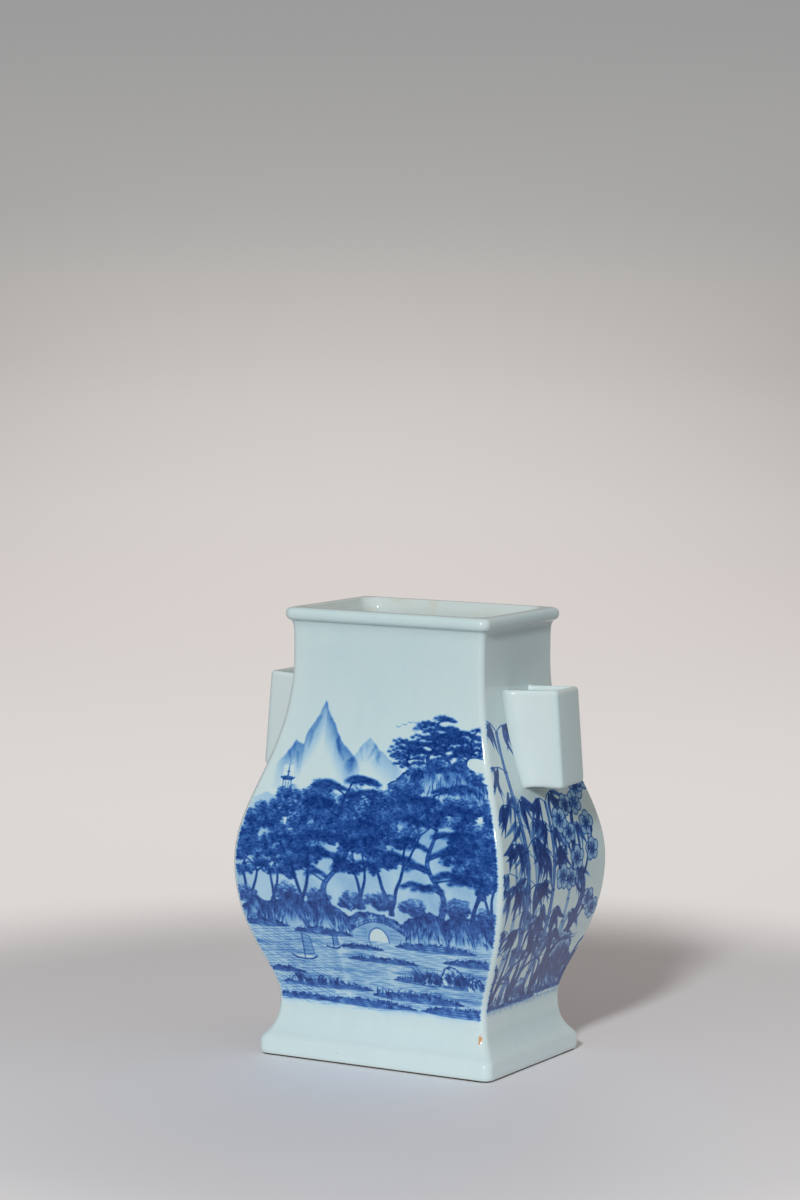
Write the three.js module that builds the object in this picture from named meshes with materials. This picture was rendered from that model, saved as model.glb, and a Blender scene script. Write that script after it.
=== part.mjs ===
// A rectangular porcelain vase of the hu form, as its potter builds it from slabs of clay.
// Four moulded wall slabs meet at mitred corners round a base slab. They stand on four foot
// strips and carry four rim strips. Each lug is a hollow tube of three slabs luted to a side wall.
// Millimetres, +Z up. The origin is under the middle of the foot. The front faces -Y.

import * as THREE from 'three';

// Heights of the stretches of the vase, from the foot up. Together they are 300 mm.
const footHeight = 13;
const footCoveHeight = 26;
const lowerBodyHeight = 92;
const shoulderHeight = 137;
const neckHeight = 23.2;
const rimHeight = 8.8;

// Half widths (side walls, along X) and half depths (front and back walls, along Y).
const footHalfWidth = 88.2;
const footHalfDepth = 64.5;
const waistHalfWidth = 78.2;
const waistHalfDepth = 53.6;
const bellyHalfWidth = 101.6;
const bellyHalfDepth = 75.4;
const neckHalfWidth = 71.9;
const neckHalfDepth = 49;

// How full each curved stretch is: the share of its height that a curve runs upright at each end.
const coveEndShare = 0.5;
const waistRiseShare = 0.2;
const bellyRiseShare = 0.52;
const bellyFallShare = 0.31;
const neckFallShare = 0.48;

// Clay thicknesses.
const wallThickness = 5;
const baseThickness = 8;
const footThickness = 10;
const lugWall = 4;

// Rounded corners and edges.
const cornerRadius = 4;
const footCornerRadius = 6;
const innerCornerRadius = 12;
const footTuck = 1.8;
const footEdgeRound = 1.2;
const rimEdgeRound = 0.8;
const lugEdgeRadius = 1.5;

// How far the rolled rim stands out past the neck, and how much of that its corners widen by.
const rimProjection = 4.8;
const rimCornerShare = 0.5;

// The lugs: hollow upright tubes, open at both ends, splayed a little towards the bottom.
const lugAboveBelly = 58.2;
const lugHeight = 61.5;
const lugDepth = 33.6;
const lugReachAtTop = 37;
const lugSplay = 5.1;

// The slip joint left between slabs that meet at a mitre or on a curve.
const slipJoint = 0.3;

// Facets along curves and round corners.
const coveSteps = 5;
const lowerBodySteps = 9;
const shoulderSteps = 12;
const rimSteps = 10;
const footRoundSteps = 3;
const cornerSteps = 3;

const waistZ = footHeight + footCoveHeight;
const bellyZ = waistZ + lowerBodyHeight;
const neckZ = bellyZ + shoulderHeight;
const wallTopZ = neckZ + neckHeight;

const glaze = () => new THREE.MeshStandardMaterial({ color: 0xc9d8da, roughness: 0.12, metalness: 0 });
const paintedGlaze = () => new THREE.MeshStandardMaterial({ color: 0x9fb4d0, roughness: 0.12, metalness: 0 });
const footGlaze = () => new THREE.MeshStandardMaterial({ color: 0xcfdadb, roughness: 0.2, metalness: 0 });

// A closed solid through rings of points, all with the same number of points, from the lowest
// ring to the highest. Each ring runs anticlockwise seen from above.
function loft(rings) {
  const count = rings[0].length;
  const positions = [];
  const faces = [];
  for (const ring of rings) {
    for (const point of ring) positions.push(point.x, point.y, point.z);
  }
  for (let level = 0; level < rings.length - 1; level += 1) {
    for (let i = 0; i < count; i += 1) {
      const next = (i + 1) % count;
      const low = level * count;
      const high = low + count;
      faces.push(low + i, low + next, high + next);
      faces.push(low + i, high + next, high + i);
    }
  }
  const top = (rings.length - 1) * count;
  const flat = (ring) => ring.map((point) => new THREE.Vector2(point.x, point.y));
  for (const [a, b, c] of THREE.ShapeUtils.triangulateShape(flat(rings[0]), [])) faces.push(c, b, a);
  for (const [a, b, c] of THREE.ShapeUtils.triangulateShape(flat(rings[rings.length - 1]), [])) {
    faces.push(top + a, top + b, top + c);
  }
  const geometry = new THREE.BufferGeometry();
  geometry.setAttribute('position', new THREE.Float32BufferAttribute(positions, 3));
  geometry.setIndex(faces);
  geometry.computeVertexNormals();
  return geometry;
}

// The outline of the vase as levels: height, half width, half depth and corner radius.
function curvePoints(from, to, fromShare, toShare, steps) {
  const rise = to.z - from.z;
  const curve = (start, end) => new THREE.CubicBezierCurve(
    new THREE.Vector2(start, from.z),
    new THREE.Vector2(start, from.z + rise * fromShare),
    new THREE.Vector2(end, to.z - rise * toShare),
    new THREE.Vector2(end, to.z),
  );
  const widths = curve(from.width, to.width).getPoints(steps);
  const depths = curve(from.depth, to.depth).getPoints(steps);
  return widths.map((point, i) => ({
    z: point.y,
    width: point.x,
    depth: depths[i].x,
    radius: cornerRadius,
  }));
}

// The cove over the foot leaves the foot's shoulder at a slant and runs upright at the waist.
function covePoints() {
  const slantOut = 0.62;
  const slantUp = 0.2;
  const curve = (start, end) => new THREE.CubicBezierCurve(
    new THREE.Vector2(start, footHeight),
    new THREE.Vector2(start + (end - start) * slantOut, footHeight + footCoveHeight * slantUp),
    new THREE.Vector2(end, waistZ - footCoveHeight * coveEndShare),
    new THREE.Vector2(end, waistZ),
  );
  const widths = curve(footHalfWidth - footEdgeRound, waistHalfWidth).getPoints(coveSteps);
  const depths = curve(footHalfDepth - footEdgeRound, waistHalfDepth).getPoints(coveSteps);
  return widths.map((point, i) => ({
    z: point.y,
    width: point.x,
    depth: depths[i].x,
    radius: THREE.MathUtils.lerp(footCornerRadius, cornerRadius, i / coveSteps),
  }));
}

const waist = { z: waistZ, width: waistHalfWidth, depth: waistHalfDepth };
const belly = { z: bellyZ, width: bellyHalfWidth, depth: bellyHalfDepth };
const neck = { z: neckZ, width: neckHalfWidth, depth: neckHalfDepth };
const wallLevels = [
  ...covePoints(),
  ...curvePoints(waist, belly, waistRiseShare, bellyRiseShare, lowerBodySteps).slice(1),
  ...curvePoints(belly, neck, bellyFallShare, neckFallShare, shoulderSteps).slice(1),
  { ...neck, z: wallTopZ, radius: cornerRadius },
];

// The outline at any height, on the straight facets between two levels.
function outlineAt(z) {
  const above = Math.max(1, wallLevels.findIndex((level) => level.z >= z));
  const low = wallLevels[above - 1];
  const high = wallLevels[above];
  const share = (z - low.z) / (high.z - low.z);
  const mix = (key) => THREE.MathUtils.lerp(low[key], high[key], share);
  return { z, width: mix('width'), depth: mix('depth'), radius: mix('radius') };
}

// The levels between two heights, with both ends.
function levelsBetween(lowZ, highZ) {
  const within = wallLevels.filter((level) => level.z > lowZ + 0.5 && level.z < highZ - 0.5);
  return [outlineAt(lowZ), ...within, outlineAt(highZ)];
}

// An outline moved in or out, with a corner radius of its own.
const inset = (level, by, radius = level.radius) => ({
  z: level.z,
  width: level.width - by,
  depth: level.depth - by,
  radius,
});

// Points round half a corner, from its 45 degree mitre to the flat of the front or the side.
// signX and signY choose the corner.
function halfCorner(level, signX, signY, towardsFront) {
  const points = [];
  for (let i = 0; i <= cornerSteps; i += 1) {
    const turn = (Math.PI / 4) * (towardsFront ? 1 + i / cornerSteps : 1 - i / cornerSteps);
    const x = level.width - level.radius + level.radius * Math.cos(turn);
    const y = level.depth - level.radius + level.radius * Math.sin(turn);
    points.push(new THREE.Vector3(signX * x, signY * y, level.z));
  }
  const half = (slipJoint / 2) * Math.SQRT1_2;
  const away = towardsFront ? [-signX * half, signY * half] : [signX * half, -signY * half];
  points[0].x += away[0];
  points[0].y += away[1];
  return points;
}

// One face of a ring, as a run of points from mitre to mitre, anticlockwise seen from above.
const sides = {
  front: { first: [-1, -1], second: [1, -1], frontOrBack: true },
  right: { first: [1, -1], second: [1, 1], frontOrBack: false },
  back: { first: [1, 1], second: [-1, 1], frontOrBack: true },
  left: { first: [-1, 1], second: [-1, -1], frontOrBack: false },
};

function faceRun(level, side) {
  const { first, second, frontOrBack } = sides[side];
  return [
    ...halfCorner(level, first[0], first[1], frontOrBack),
    ...halfCorner(level, second[0], second[1], frontOrBack).reverse(),
  ];
}

// A mitred slab or strip on one side: each level has an outer and an inner outline.
function mitredSlab(levels, side) {
  return loft(levels.map(({ outer, inner }) => [...faceRun(outer, side), ...faceRun(inner, side).reverse()]));
}

// Four wall slabs, from the foot strips to the rim.
function wallSlab(side) {
  return mitredSlab(wallLevels.map((level) => ({
    outer: level,
    inner: inset(level, wallThickness, innerCornerRadius),
  })), side);
}

// Foot strips: tucked under at the floor, upright, with a soft shoulder where the cove starts.
function footStrip(side) {
  const footOutline = { width: footHalfWidth, depth: footHalfDepth, radius: footCornerRadius };
  const levels = [];
  const add = (z, by) => levels.push({
    outer: inset({ ...footOutline, z }, by),
    inner: inset({ ...footOutline, z }, footThickness, innerCornerRadius),
  });
  for (let i = 0; i <= footRoundSteps; i += 1) {
    const turn = (Math.PI / 2) * (i / footRoundSteps);
    add(footTuck * (1 - Math.cos(turn)), footTuck * (1 - Math.sin(turn)));
  }
  for (let i = 0; i <= footRoundSteps; i += 1) {
    const turn = (Math.PI / 2) * (i / footRoundSteps);
    add(footHeight - footEdgeRound * (1 - Math.sin(turn)), footEdgeRound * (1 - Math.cos(turn)));
  }
  return mitredSlab(levels, side);
}

// Rim strips: a half-round roll outside, an upright face with an eased edge inside.
function rimStrip(side) {
  const rimOutline = { width: neckHalfWidth, depth: neckHalfDepth, radius: cornerRadius };
  const levels = [];
  for (let i = 0; i <= rimSteps; i += 1) {
    const turn = Math.PI * (i / rimSteps);
    const z = wallTopZ + (rimHeight / 2) * (1 - Math.cos(turn));
    const out = rimProjection * Math.sin(turn);
    const eased = rimEdgeRound * Math.max(0, (z - (wallTopZ + rimHeight - rimEdgeRound)) / rimEdgeRound);
    levels.push({
      outer: inset({ ...rimOutline, z }, -out, cornerRadius + out * rimCornerShare),
      inner: inset({ ...rimOutline, z }, wallThickness - eased, innerCornerRadius),
    });
  }
  return mitredSlab(levels, side);
}

// The base slab lies on the ledge inside the foot strips, with its edge against the walls.
function baseSlab() {
  const topZ = footHeight + baseThickness;
  const rings = levelsBetween(footHeight, topZ).map((level) => {
    const edge = inset(level, wallThickness + slipJoint, innerCornerRadius);
    const ring = [];
    for (const [signX, signY, turnStart] of [[1, 1, 0], [-1, 1, 1], [-1, -1, 2], [1, -1, 3]]) {
      for (let i = 0; i <= cornerSteps * 2; i += 1) {
        const turn = (Math.PI / 2) * (turnStart + i / (cornerSteps * 2));
        const x = signX * (edge.width - edge.radius) + edge.radius * Math.cos(turn);
        const y = signY * (edge.depth - edge.radius) + edge.radius * Math.sin(turn);
        ring.push(new THREE.Vector3(x, y, level.z));
      }
    }
    return ring;
  });
  return loft(rings);
}

// A lug on the right side wall, as three slabs. The tube's fourth side is the wall itself.
const lugBottomZ = bellyZ + lugAboveBelly;
const lugTopZ = lugBottomZ + lugHeight;

function lugLevels() {
  return levelsBetween(lugBottomZ, lugTopZ).map((level) => ({
    z: level.z,
    wallFace: level.width + slipJoint,
    outerFace: neckHalfWidth + lugReachAtTop + lugSplay * ((lugTopZ - level.z) / lugHeight),
  }));
}

// The rounded outer edge of a lug, half of it, from the 45 degree mitre to a flat.
function lugEdge(x, y, z, towardsSide) {
  const points = [];
  const steps = 2;
  for (let i = 0; i <= steps; i += 1) {
    const turn = (Math.PI / 4) * (towardsSide ? 1 + i / steps : 1 - i / steps);
    points.push(new THREE.Vector3(
      x - lugEdgeRadius + lugEdgeRadius * Math.cos(turn),
      y - lugEdgeRadius + lugEdgeRadius * Math.sin(turn),
      z,
    ));
  }
  const half = (slipJoint / 2) * Math.SQRT1_2;
  points[0].x += towardsSide ? -half : half;
  points[0].y += towardsSide ? half : -half;
  return points;
}

function lugBackSlab() {
  const half = (slipJoint / 2) * Math.SQRT1_2;
  return loft(lugLevels().map(({ z, wallFace, outerFace }) => [
    new THREE.Vector3(wallFace, lugDepth / 2 - lugWall, z),
    new THREE.Vector3(outerFace - lugWall - half, lugDepth / 2 - lugWall + half, z),
    ...lugEdge(outerFace, lugDepth / 2, z, true),
    new THREE.Vector3(wallFace, lugDepth / 2, z),
  ]));
}

function lugOuterSlab() {
  const half = (slipJoint / 2) * Math.SQRT1_2;
  return loft(lugLevels().map(({ z, outerFace }) => {
    const edge = lugEdge(outerFace, lugDepth / 2, z, false);
    const innerFace = outerFace - lugWall + half;
    const mitre = lugDepth / 2 - lugWall - half;
    return [
      new THREE.Vector3(innerFace, mitre, z),
      new THREE.Vector3(innerFace, -mitre, z),
      ...edge.map((point) => new THREE.Vector3(point.x, -point.y, z)),
      ...edge.reverse(),
    ];
  }));
}

// A copy mirrored in the plane x = 0 or y = 0, with its faces turned out again.
function mirrored(geometry, scaleX, scaleY) {
  const copy = geometry.clone().scale(scaleX, scaleY, 1);
  if (scaleX * scaleY < 0) {
    const index = copy.getIndex();
    for (let i = 0; i < index.count; i += 3) {
      const second = index.getX(i + 1);
      index.setX(i + 1, index.getX(i + 2));
      index.setX(i + 2, second);
    }
  }
  copy.computeVertexNormals();
  return copy;
}

const vase = new THREE.Group();

function addPiece(name, geometry, material) {
  const mesh = new THREE.Mesh(geometry, material);
  mesh.name = name;
  vase.add(mesh);
}

for (const side of Object.keys(sides)) {
  addPiece(`${side}_wall`, wallSlab(side), paintedGlaze());
  addPiece(`foot_${side}_strip`, footStrip(side), footGlaze());
  addPiece(`rim_${side}_strip`, rimStrip(side), glaze());
}
addPiece('base_slab', baseSlab(), glaze());
for (const [lug, scaleX] of [['right_lug', 1], ['left_lug', -1]]) {
  addPiece(`${lug}_outer_slab`, mirrored(lugOuterSlab(), scaleX, 1), glaze());
  addPiece(`${lug}_back_slab`, mirrored(lugBackSlab(), scaleX, 1), glaze());
  addPiece(`${lug}_front_slab`, mirrored(lugBackSlab(), scaleX, -1), glaze());
}

export default vase;
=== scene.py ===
# A rectangular porcelain vase, painted in cobalt blue under a pale glaze.
# Sizes in this script are millimetres until a mesh is placed, when MM turns them to metres.

import math

import bmesh
import bpy
import numpy as np
from mathutils import Matrix, Vector


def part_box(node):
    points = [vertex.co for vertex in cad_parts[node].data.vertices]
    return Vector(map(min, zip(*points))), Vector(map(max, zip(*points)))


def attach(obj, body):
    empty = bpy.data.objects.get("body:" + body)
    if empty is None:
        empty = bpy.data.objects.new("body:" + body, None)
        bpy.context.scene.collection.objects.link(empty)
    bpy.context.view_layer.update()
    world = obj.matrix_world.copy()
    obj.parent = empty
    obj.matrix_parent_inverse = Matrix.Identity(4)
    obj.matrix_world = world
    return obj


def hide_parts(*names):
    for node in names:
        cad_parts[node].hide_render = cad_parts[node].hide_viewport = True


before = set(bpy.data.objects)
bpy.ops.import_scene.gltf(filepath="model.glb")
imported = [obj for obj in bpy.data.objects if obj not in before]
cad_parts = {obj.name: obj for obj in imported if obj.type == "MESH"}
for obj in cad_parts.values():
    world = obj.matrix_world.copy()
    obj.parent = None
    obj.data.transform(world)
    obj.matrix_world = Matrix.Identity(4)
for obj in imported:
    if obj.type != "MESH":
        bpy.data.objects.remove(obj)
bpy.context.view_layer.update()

MM = 0.001


def linear(colour, alpha=1.0):
    """An sRGB hex colour as linear red, green, blue and alpha."""
    parts = [int(colour[i:i + 2], 16) / 255 for i in (1, 3, 5)]
    return tuple(p / 12.92 if p <= 0.04045 else ((p + 0.055) / 1.055) ** 2.4 for p in parts) + (alpha,)


def node(tree, kind, inputs=(), **settings):
    """Add one node with its settings. Inputs are named, or given in order, and each is a value, or
    a socket or node to link from. A node gives its first output."""
    made = tree.nodes.new("ShaderNode" + kind)
    for name, value in settings.items():
        setattr(made, name, value)
    for name, value in inputs.items() if isinstance(inputs, dict) else enumerate(inputs):
        if isinstance(value, bpy.types.Node):
            value = next(socket for socket in value.outputs if socket.enabled)
        if isinstance(value, bpy.types.NodeSocket):
            tree.links.new(value, made.inputs[name])
        else:
            made.inputs[name].default_value = value
    return made


def empty_tree(owner):
    """The node tree of a new material or world, with nothing in it."""
    owner.use_nodes = True
    owner.node_tree.nodes.clear()
    return owner.node_tree


def direction(azimuth, elevation):
    """The way out from the vase at an azimuth and elevation in degrees, 0 being the front."""
    azimuth, elevation = math.radians(azimuth), math.radians(elevation)
    level = math.cos(elevation)
    return Vector((math.sin(azimuth) * level, -math.cos(azimuth) * level, math.sin(elevation)))


# Sizes from the CAD pieces, in mm
def high_mm(piece, axis):
    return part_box(piece)[1][axis] / MM


FOOT_TOP = high_mm("foot_front_strip", 2)
WALL_TOP = high_mm("front_wall", 2)
RIM_TOP = high_mm("rim_front_strip", 2)
BASE_TOP = high_mm("base_slab", 2)
FOOT_HALF = (high_mm("foot_right_strip", 0), high_mm("foot_back_strip", 1))
BELLY_HALF = (high_mm("right_wall", 0), high_mm("back_wall", 1))
RIM_HALF = (high_mm("rim_right_strip", 0), high_mm("rim_back_strip", 1))
LUG_OUT = high_mm("right_lug_outer_slab", 0)
LUG_TOP = high_mm("right_lug_outer_slab", 2)
LUG_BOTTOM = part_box("right_lug_outer_slab")[0][2] / MM
LUG_HALF = high_mm("right_lug_back_slab", 1)

# Sizes that the boxes don't give, in mm
WAIST_HALF = (78.2, 53.6)
NECK_HALF = (71.9, 49)
WAIST_Z = FOOT_TOP + 26
BELLY_Z = WAIST_Z + 92
NECK_Z = WALL_TOP - 23.2
RIM_OUT = RIM_HALF[0] - NECK_HALF[0]
FOOT_EDGE = 1.2
FOOT_ROUND = 4.6
FOOT_THICK = 10
FOOT_DEEP = FOOT_THICK - 0.5
BARE_EDGE = 1.0
CORNER = 4
FOOT_CORNER = 6
INNER_CORNER = 12
WALL = 5
LUG_SPLAY = 5.1
LUG_WALL = 4

# How thin the glaze ran at an upright arris, with painted light making the face lighter towards it, and
# how far in that reaches, in mm
ARRIS_THIN_AND_LIGHT = 0.42
ARRIS_REACH = 7
# The unevenness of hand-pressed clay, in mm: long waves and short ones
SLOW_WAVE = 0.16
QUICK_WAVE = 0.05


def bezier(a, b, c, d, steps=200):
    t = np.linspace(0, 1, steps)
    return (1 - t) ** 3 * a + 3 * t * (1 - t) ** 2 * b + 3 * t * t * (1 - t) * c + t ** 3 * d


def stretch(low_z, high_z, low_half, high_half, low_share, high_share):
    """One stretch of the outline, upright at both ends for a share of its height."""
    rise = high_z - low_z
    zs = bezier(low_z, low_z + low_share * rise, high_z - high_share * rise, high_z)
    return [zs] + [bezier(low, low, high, high) for low, high in zip(low_half, high_half)]


def outline_curves():
    """Heights, half widths and half depths of the outer face, close together."""
    rise = WAIST_Z - FOOT_TOP
    shoulder = [half - FOOT_EDGE for half in FOOT_HALF]
    cove = [bezier(FOOT_TOP, FOOT_TOP + 0.2 * rise, WAIST_Z - 0.5 * rise, WAIST_Z)]
    cove += [bezier(f, f + 0.62 * (w - f), w, w) for f, w in zip(shoulder, WAIST_HALF)]
    lower_body = stretch(WAIST_Z, BELLY_Z, WAIST_HALF, BELLY_HALF, 0.2, 0.52)
    upper_body = stretch(BELLY_Z, NECK_Z, BELLY_HALF, NECK_HALF, 0.31, 0.48)
    neck_top = [np.array([value]) for value in (WALL_TOP, *NECK_HALF)]
    return [np.concatenate(parts) for parts in zip(cove, lower_body, upper_body, neck_top)]


CURVE_Z, CURVE_X, CURVE_Y = outline_curves()


def outer(z):
    """Half width and half depth of the outer face at a height, and its corner's radius."""
    share = np.clip((WAIST_Z - z) / (WAIST_Z - FOOT_TOP), 0, 1)
    radius = CORNER + share * (FOOT_CORNER - CORNER)
    return np.interp(z, CURVE_Z, CURVE_X), np.interp(z, CURVE_Z, CURVE_Y), radius


def arris_thin_and_light(x, y, z):
    """How thin the glaze ran along the upright arrises, and a painted lighter band along them that stands
    in for the light they catch.
    """
    half_x, half_y, radius = outer(z)
    from_arris = np.maximum(half_x - np.abs(x), half_y - np.abs(y))
    return ARRIS_THIN_AND_LIGHT * np.exp(-from_arris / ARRIS_REACH)


def hand_wave(x, y, z):
    """The slight unevenness of clay pressed and pared by hand, in mm outwards."""
    slow = np.sin(x / 31 + z / 47 + 0.6) * np.cos(z / 39 - y / 35)
    quick = np.sin(x / 13 - z / 17 + 1.9) * np.sin(z / 15 + y / 12)
    return SLOW_WAVE * slow + QUICK_WAVE * quick


# Round a rounded rectangle, each quarter is half a corner, a side and half the next corner
QUARTER_STEPS = 40
CORNER_SHARE = 0.2


def plan_point(half_x, half_y, radius, share):
    """A point of a rounded rectangle and its outward direction. Share runs from 0 to 4."""
    quarter = int(share) % 4
    across = share - int(share)
    half_x, half_y, radius = float(half_x), float(half_y), float(radius)
    half, out = (half_x, half_y) if quarter % 2 == 0 else (half_y, half_x)
    straight = half - radius
    if across < CORNER_SHARE:
        angle = -math.pi / 4 * (1 - across / CORNER_SHARE)
        run = -straight
    elif across > 1 - CORNER_SHARE:
        angle = math.pi / 4 * (across - 1 + CORNER_SHARE) / CORNER_SHARE
        run = straight
    else:
        angle = 0
        run = straight * (2 * (across - CORNER_SHARE) / (1 - 2 * CORNER_SHARE) - 1)
    away = Vector((math.sin(angle), -math.cos(angle)))
    point = Vector((run, radius - out)) + away * radius
    turn = Matrix.Rotation(quarter * math.pi / 2, 2)
    return turn @ point, turn @ away


def finish_mesh(name, bm):
    """A bmesh in mm becomes a smooth piece in metres."""
    bmesh.ops.scale(bm, vec=(MM, MM, MM), verts=bm.verts)
    mesh = bpy.data.meshes.new(name)
    bm.to_mesh(mesh)
    bm.free()
    mesh.shade_smooth()
    piece = bpy.data.objects.new(name, mesh)
    bpy.context.scene.collection.objects.link(piece)
    return piece


def give(piece, name, values):
    attribute = piece.data.attributes.new(name, "FLOAT", "POINT")
    attribute.data.foreach_set("value", np.clip(values, 0, 1).astype(np.float32))


def wrapped(around, levels, place, closed=False):
    """A sheet wrapped into a tube: place(share round, level number) gives each point. A closed
    tube's last level lies on its first, and an open one gets a flat face at each end."""
    bm = bmesh.new()
    bmesh.ops.create_grid(bm, x_segments=around, y_segments=levels - 1, size=1)
    for vert in bm.verts:
        share = (vert.co.x + 1) / 2
        level = round((vert.co.y + 1) / 2 * (levels - 1))
        vert.co = place(share % 1, level)
    bmesh.ops.remove_doubles(bm, verts=bm.verts, dist=0.002)
    if not closed:
        rims = [edge for edge in bm.edges if edge.is_boundary]
        bmesh.ops.holes_fill(bm, edges=rims)
    bmesh.ops.recalc_face_normals(bm, faces=bm.faces)
    return bm


def square_shell(levels, closed=False):
    """A shell through rounded rectangles: height, half width, half depth, radius, wave."""
    def place(share, level):
        z, half_x, half_y, radius, wave = levels[level]
        point, away = plan_point(half_x, half_y, radius, 4 * share)
        point = point + away * (wave * float(hand_wave(point.x, point.y, z)))
        return Vector((point.x, point.y, z))
    return wrapped(4 * QUARTER_STEPS, len(levels), place, closed)


def drawn_in(half, z, by, radius, wave=0.0):
    """One rounded rectangle of a shell: a half width and half depth, drawn in by so much."""
    return z, half[0] - by, half[1] - by, radius, wave


def quarter_turns(steps):
    return [math.pi / 2 * i / steps for i in range(steps + 1)]


# The glazed body: outside, over the rim, down the inside and under the base
FOOT_SOFTNESS = 2.6
RIM_FLATNESS = 2.35
POOL_OUT = 1.8
POOL_RUN = 2.4
MOUTH_LIP = 1.1
MOUTH_FLARE = 1.7
FLARE_DEEP = 5.5
FLOOR_ROUND = 9
UNDER_CORNER = 9
UNDER_ROUND = 5
FOOT_TUCK = 2.3


def soft_outline(z):
    """The outer face with the glaze's soft turn from the cove into the foot band."""
    spots = np.clip(z + np.linspace(-1, 1, 15) * FOOT_SOFTNESS, 0, None)
    half_x, half_y, radius = outer(np.maximum(spots, FOOT_TOP))
    half_x = np.where(spots < FOOT_TOP, FOOT_HALF[0], half_x)
    half_y = np.where(spots < FOOT_TOP, FOOT_HALF[1], half_y)
    if z > FOOT_TOP + 3 * FOOT_SOFTNESS:
        return outer(z)[:2]
    return half_x.mean(), half_y.mean()


def rim_out(z):
    """How far the rim stands out at a height: a flattened roll, over a pool of glaze that runs
    down onto the neck."""
    share = min(1, abs(2 * (z - WALL_TOP) / (RIM_TOP - WALL_TOP) - 1))
    roll = RIM_OUT * (1 - share ** RIM_FLATNESS) ** (1 / RIM_FLATNESS)
    pool = POOL_OUT * math.exp(-abs(z - WALL_TOP) / POOL_RUN)
    return (roll ** 3 + pool ** 3) ** (1 / 3)


def body_levels():
    """The body's outline from the middle of its underside, up and over to the floor inside."""
    under = FOOT_TOP - 1.5
    levels = [drawn_in(FOOT_HALF, under, FOOT_DEEP + 6, 8)]
    for angle in quarter_turns(5):
        z = under - UNDER_ROUND * (1 - math.cos(angle))
        by = FOOT_DEEP + UNDER_ROUND - UNDER_ROUND * math.sin(angle)
        levels.append(drawn_in(FOOT_HALF, z, by, UNDER_CORNER))
    levels.append(drawn_in(FOOT_HALF, BARE_EDGE + 0.6, FOOT_DEEP - 0.1, UNDER_CORNER))
    levels.append(drawn_in(FOOT_HALF, BARE_EDGE, FOOT_DEEP - 0.8, UNDER_CORNER))
    levels.append(drawn_in(FOOT_HALF, BARE_EDGE, 2.2, FOOT_CORNER, 0.3))
    for z in np.linspace(BARE_EDGE + 0.1, FOOT_ROUND, 8):
        tuck = FOOT_TUCK * (1 - math.sin(math.acos(1 - z / FOOT_ROUND)))
        levels.append(drawn_in(FOOT_HALF, z, tuck, FOOT_CORNER, 0.4))
    heights = [np.linspace(FOOT_ROUND + 0.8, WAIST_Z, 44), np.linspace(WAIST_Z + 2, WALL_TOP - 8, 106),
               np.linspace(WALL_TOP - 7, WALL_TOP - 0.4, 14)]
    for z in np.concatenate(heights):
        pool = rim_out(z)
        corner = outer(max(z, FOOT_TOP))[2] + pool / 2
        levels.append(drawn_in(soft_outline(z), z, -pool, corner, min(1, 0.5 + z / 60)))
    for step in range(1, 22):
        z = WALL_TOP + (RIM_TOP - WALL_TOP) / 2 * (1 - math.cos(math.pi * step / 22))
        out = rim_out(z)
        levels.append(drawn_in(NECK_HALF, z, -out, CORNER + out / 2, 0.8))
    for angle in quarter_turns(4):
        z = RIM_TOP - MOUTH_LIP * (1 - math.cos(angle))
        by = WALL - MOUTH_FLARE - MOUTH_LIP * (1 - math.sin(angle))
        levels.append(drawn_in(NECK_HALF, z, by, INNER_CORNER, 0.6))
    for share in (0.2, 0.4, 0.6, 0.75, 0.88, 1):
        z = RIM_TOP - MOUTH_LIP - share * FLARE_DEEP
        by = WALL - MOUTH_FLARE * (1 - share) ** 1.2
        levels.append(drawn_in(NECK_HALF, z, by, INNER_CORNER, 0.7))
    for z in np.linspace(RIM_TOP - FLARE_DEEP - 4, BASE_TOP + FLOOR_ROUND, 60):
        levels.append(drawn_in(outer(min(z, WALL_TOP)), z, WALL, INNER_CORNER, 1))
    floor_half = outer(BASE_TOP + FLOOR_ROUND)
    for angle in quarter_turns(6)[1:]:
        z = BASE_TOP + FLOOR_ROUND * (1 - math.sin(angle))
        by = WALL + FLOOR_ROUND * (1 - math.cos(angle))
        levels.append(drawn_in(floor_half, z, by, INNER_CORNER, 0.6))
    levels.append(drawn_in(floor_half, BASE_TOP, 30, 8))
    return levels


body = finish_mesh("glazed_body", square_shell(body_levels()))


# The foot ring's resting edge, wiped free of glaze before firing
def foot_ring_levels():
    edge = BARE_EDGE + 0.2
    outside = [(edge, 3), (edge, 1.5), (0.3, 1.7), (0, 2.4)]
    inside = [(0, FOOT_DEEP - 1.6), (0.5, FOOT_DEEP - 0.7), (edge, FOOT_DEEP - 0.4)]
    levels = [drawn_in(FOOT_HALF, z, by, FOOT_CORNER) for z, by in outside]
    levels += [drawn_in(FOOT_HALF, z, by, UNDER_CORNER) for z, by in inside]
    return levels + levels[:1]


foot_ring = finish_mesh("foot_ring_edge", square_shell(foot_ring_levels(), closed=True))


# A lug: a hollow upright tube of three walls, luted to the side wall with rounded joins
LUG_FILLET = 12
LUG_FILLET_ALONG = 7
LUG_ROUND = 3.2
LUG_COVE = 2.5
LUG_LIP = 1.7
LUG_LIP_DEEP = 2.8
LUG_TILT = 0.9
# How far the top rises at the wall and at the outer face
LUG_TOP_SLANT = (-0.4, 1.7)
ROOT_RISE = 0.9
ROOT_REACH = 6


def lug_outer_x(z):
    return LUG_OUT - LUG_SPLAY * (z - LUG_BOTTOM) / (LUG_TOP - LUG_BOTTOM)


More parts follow.
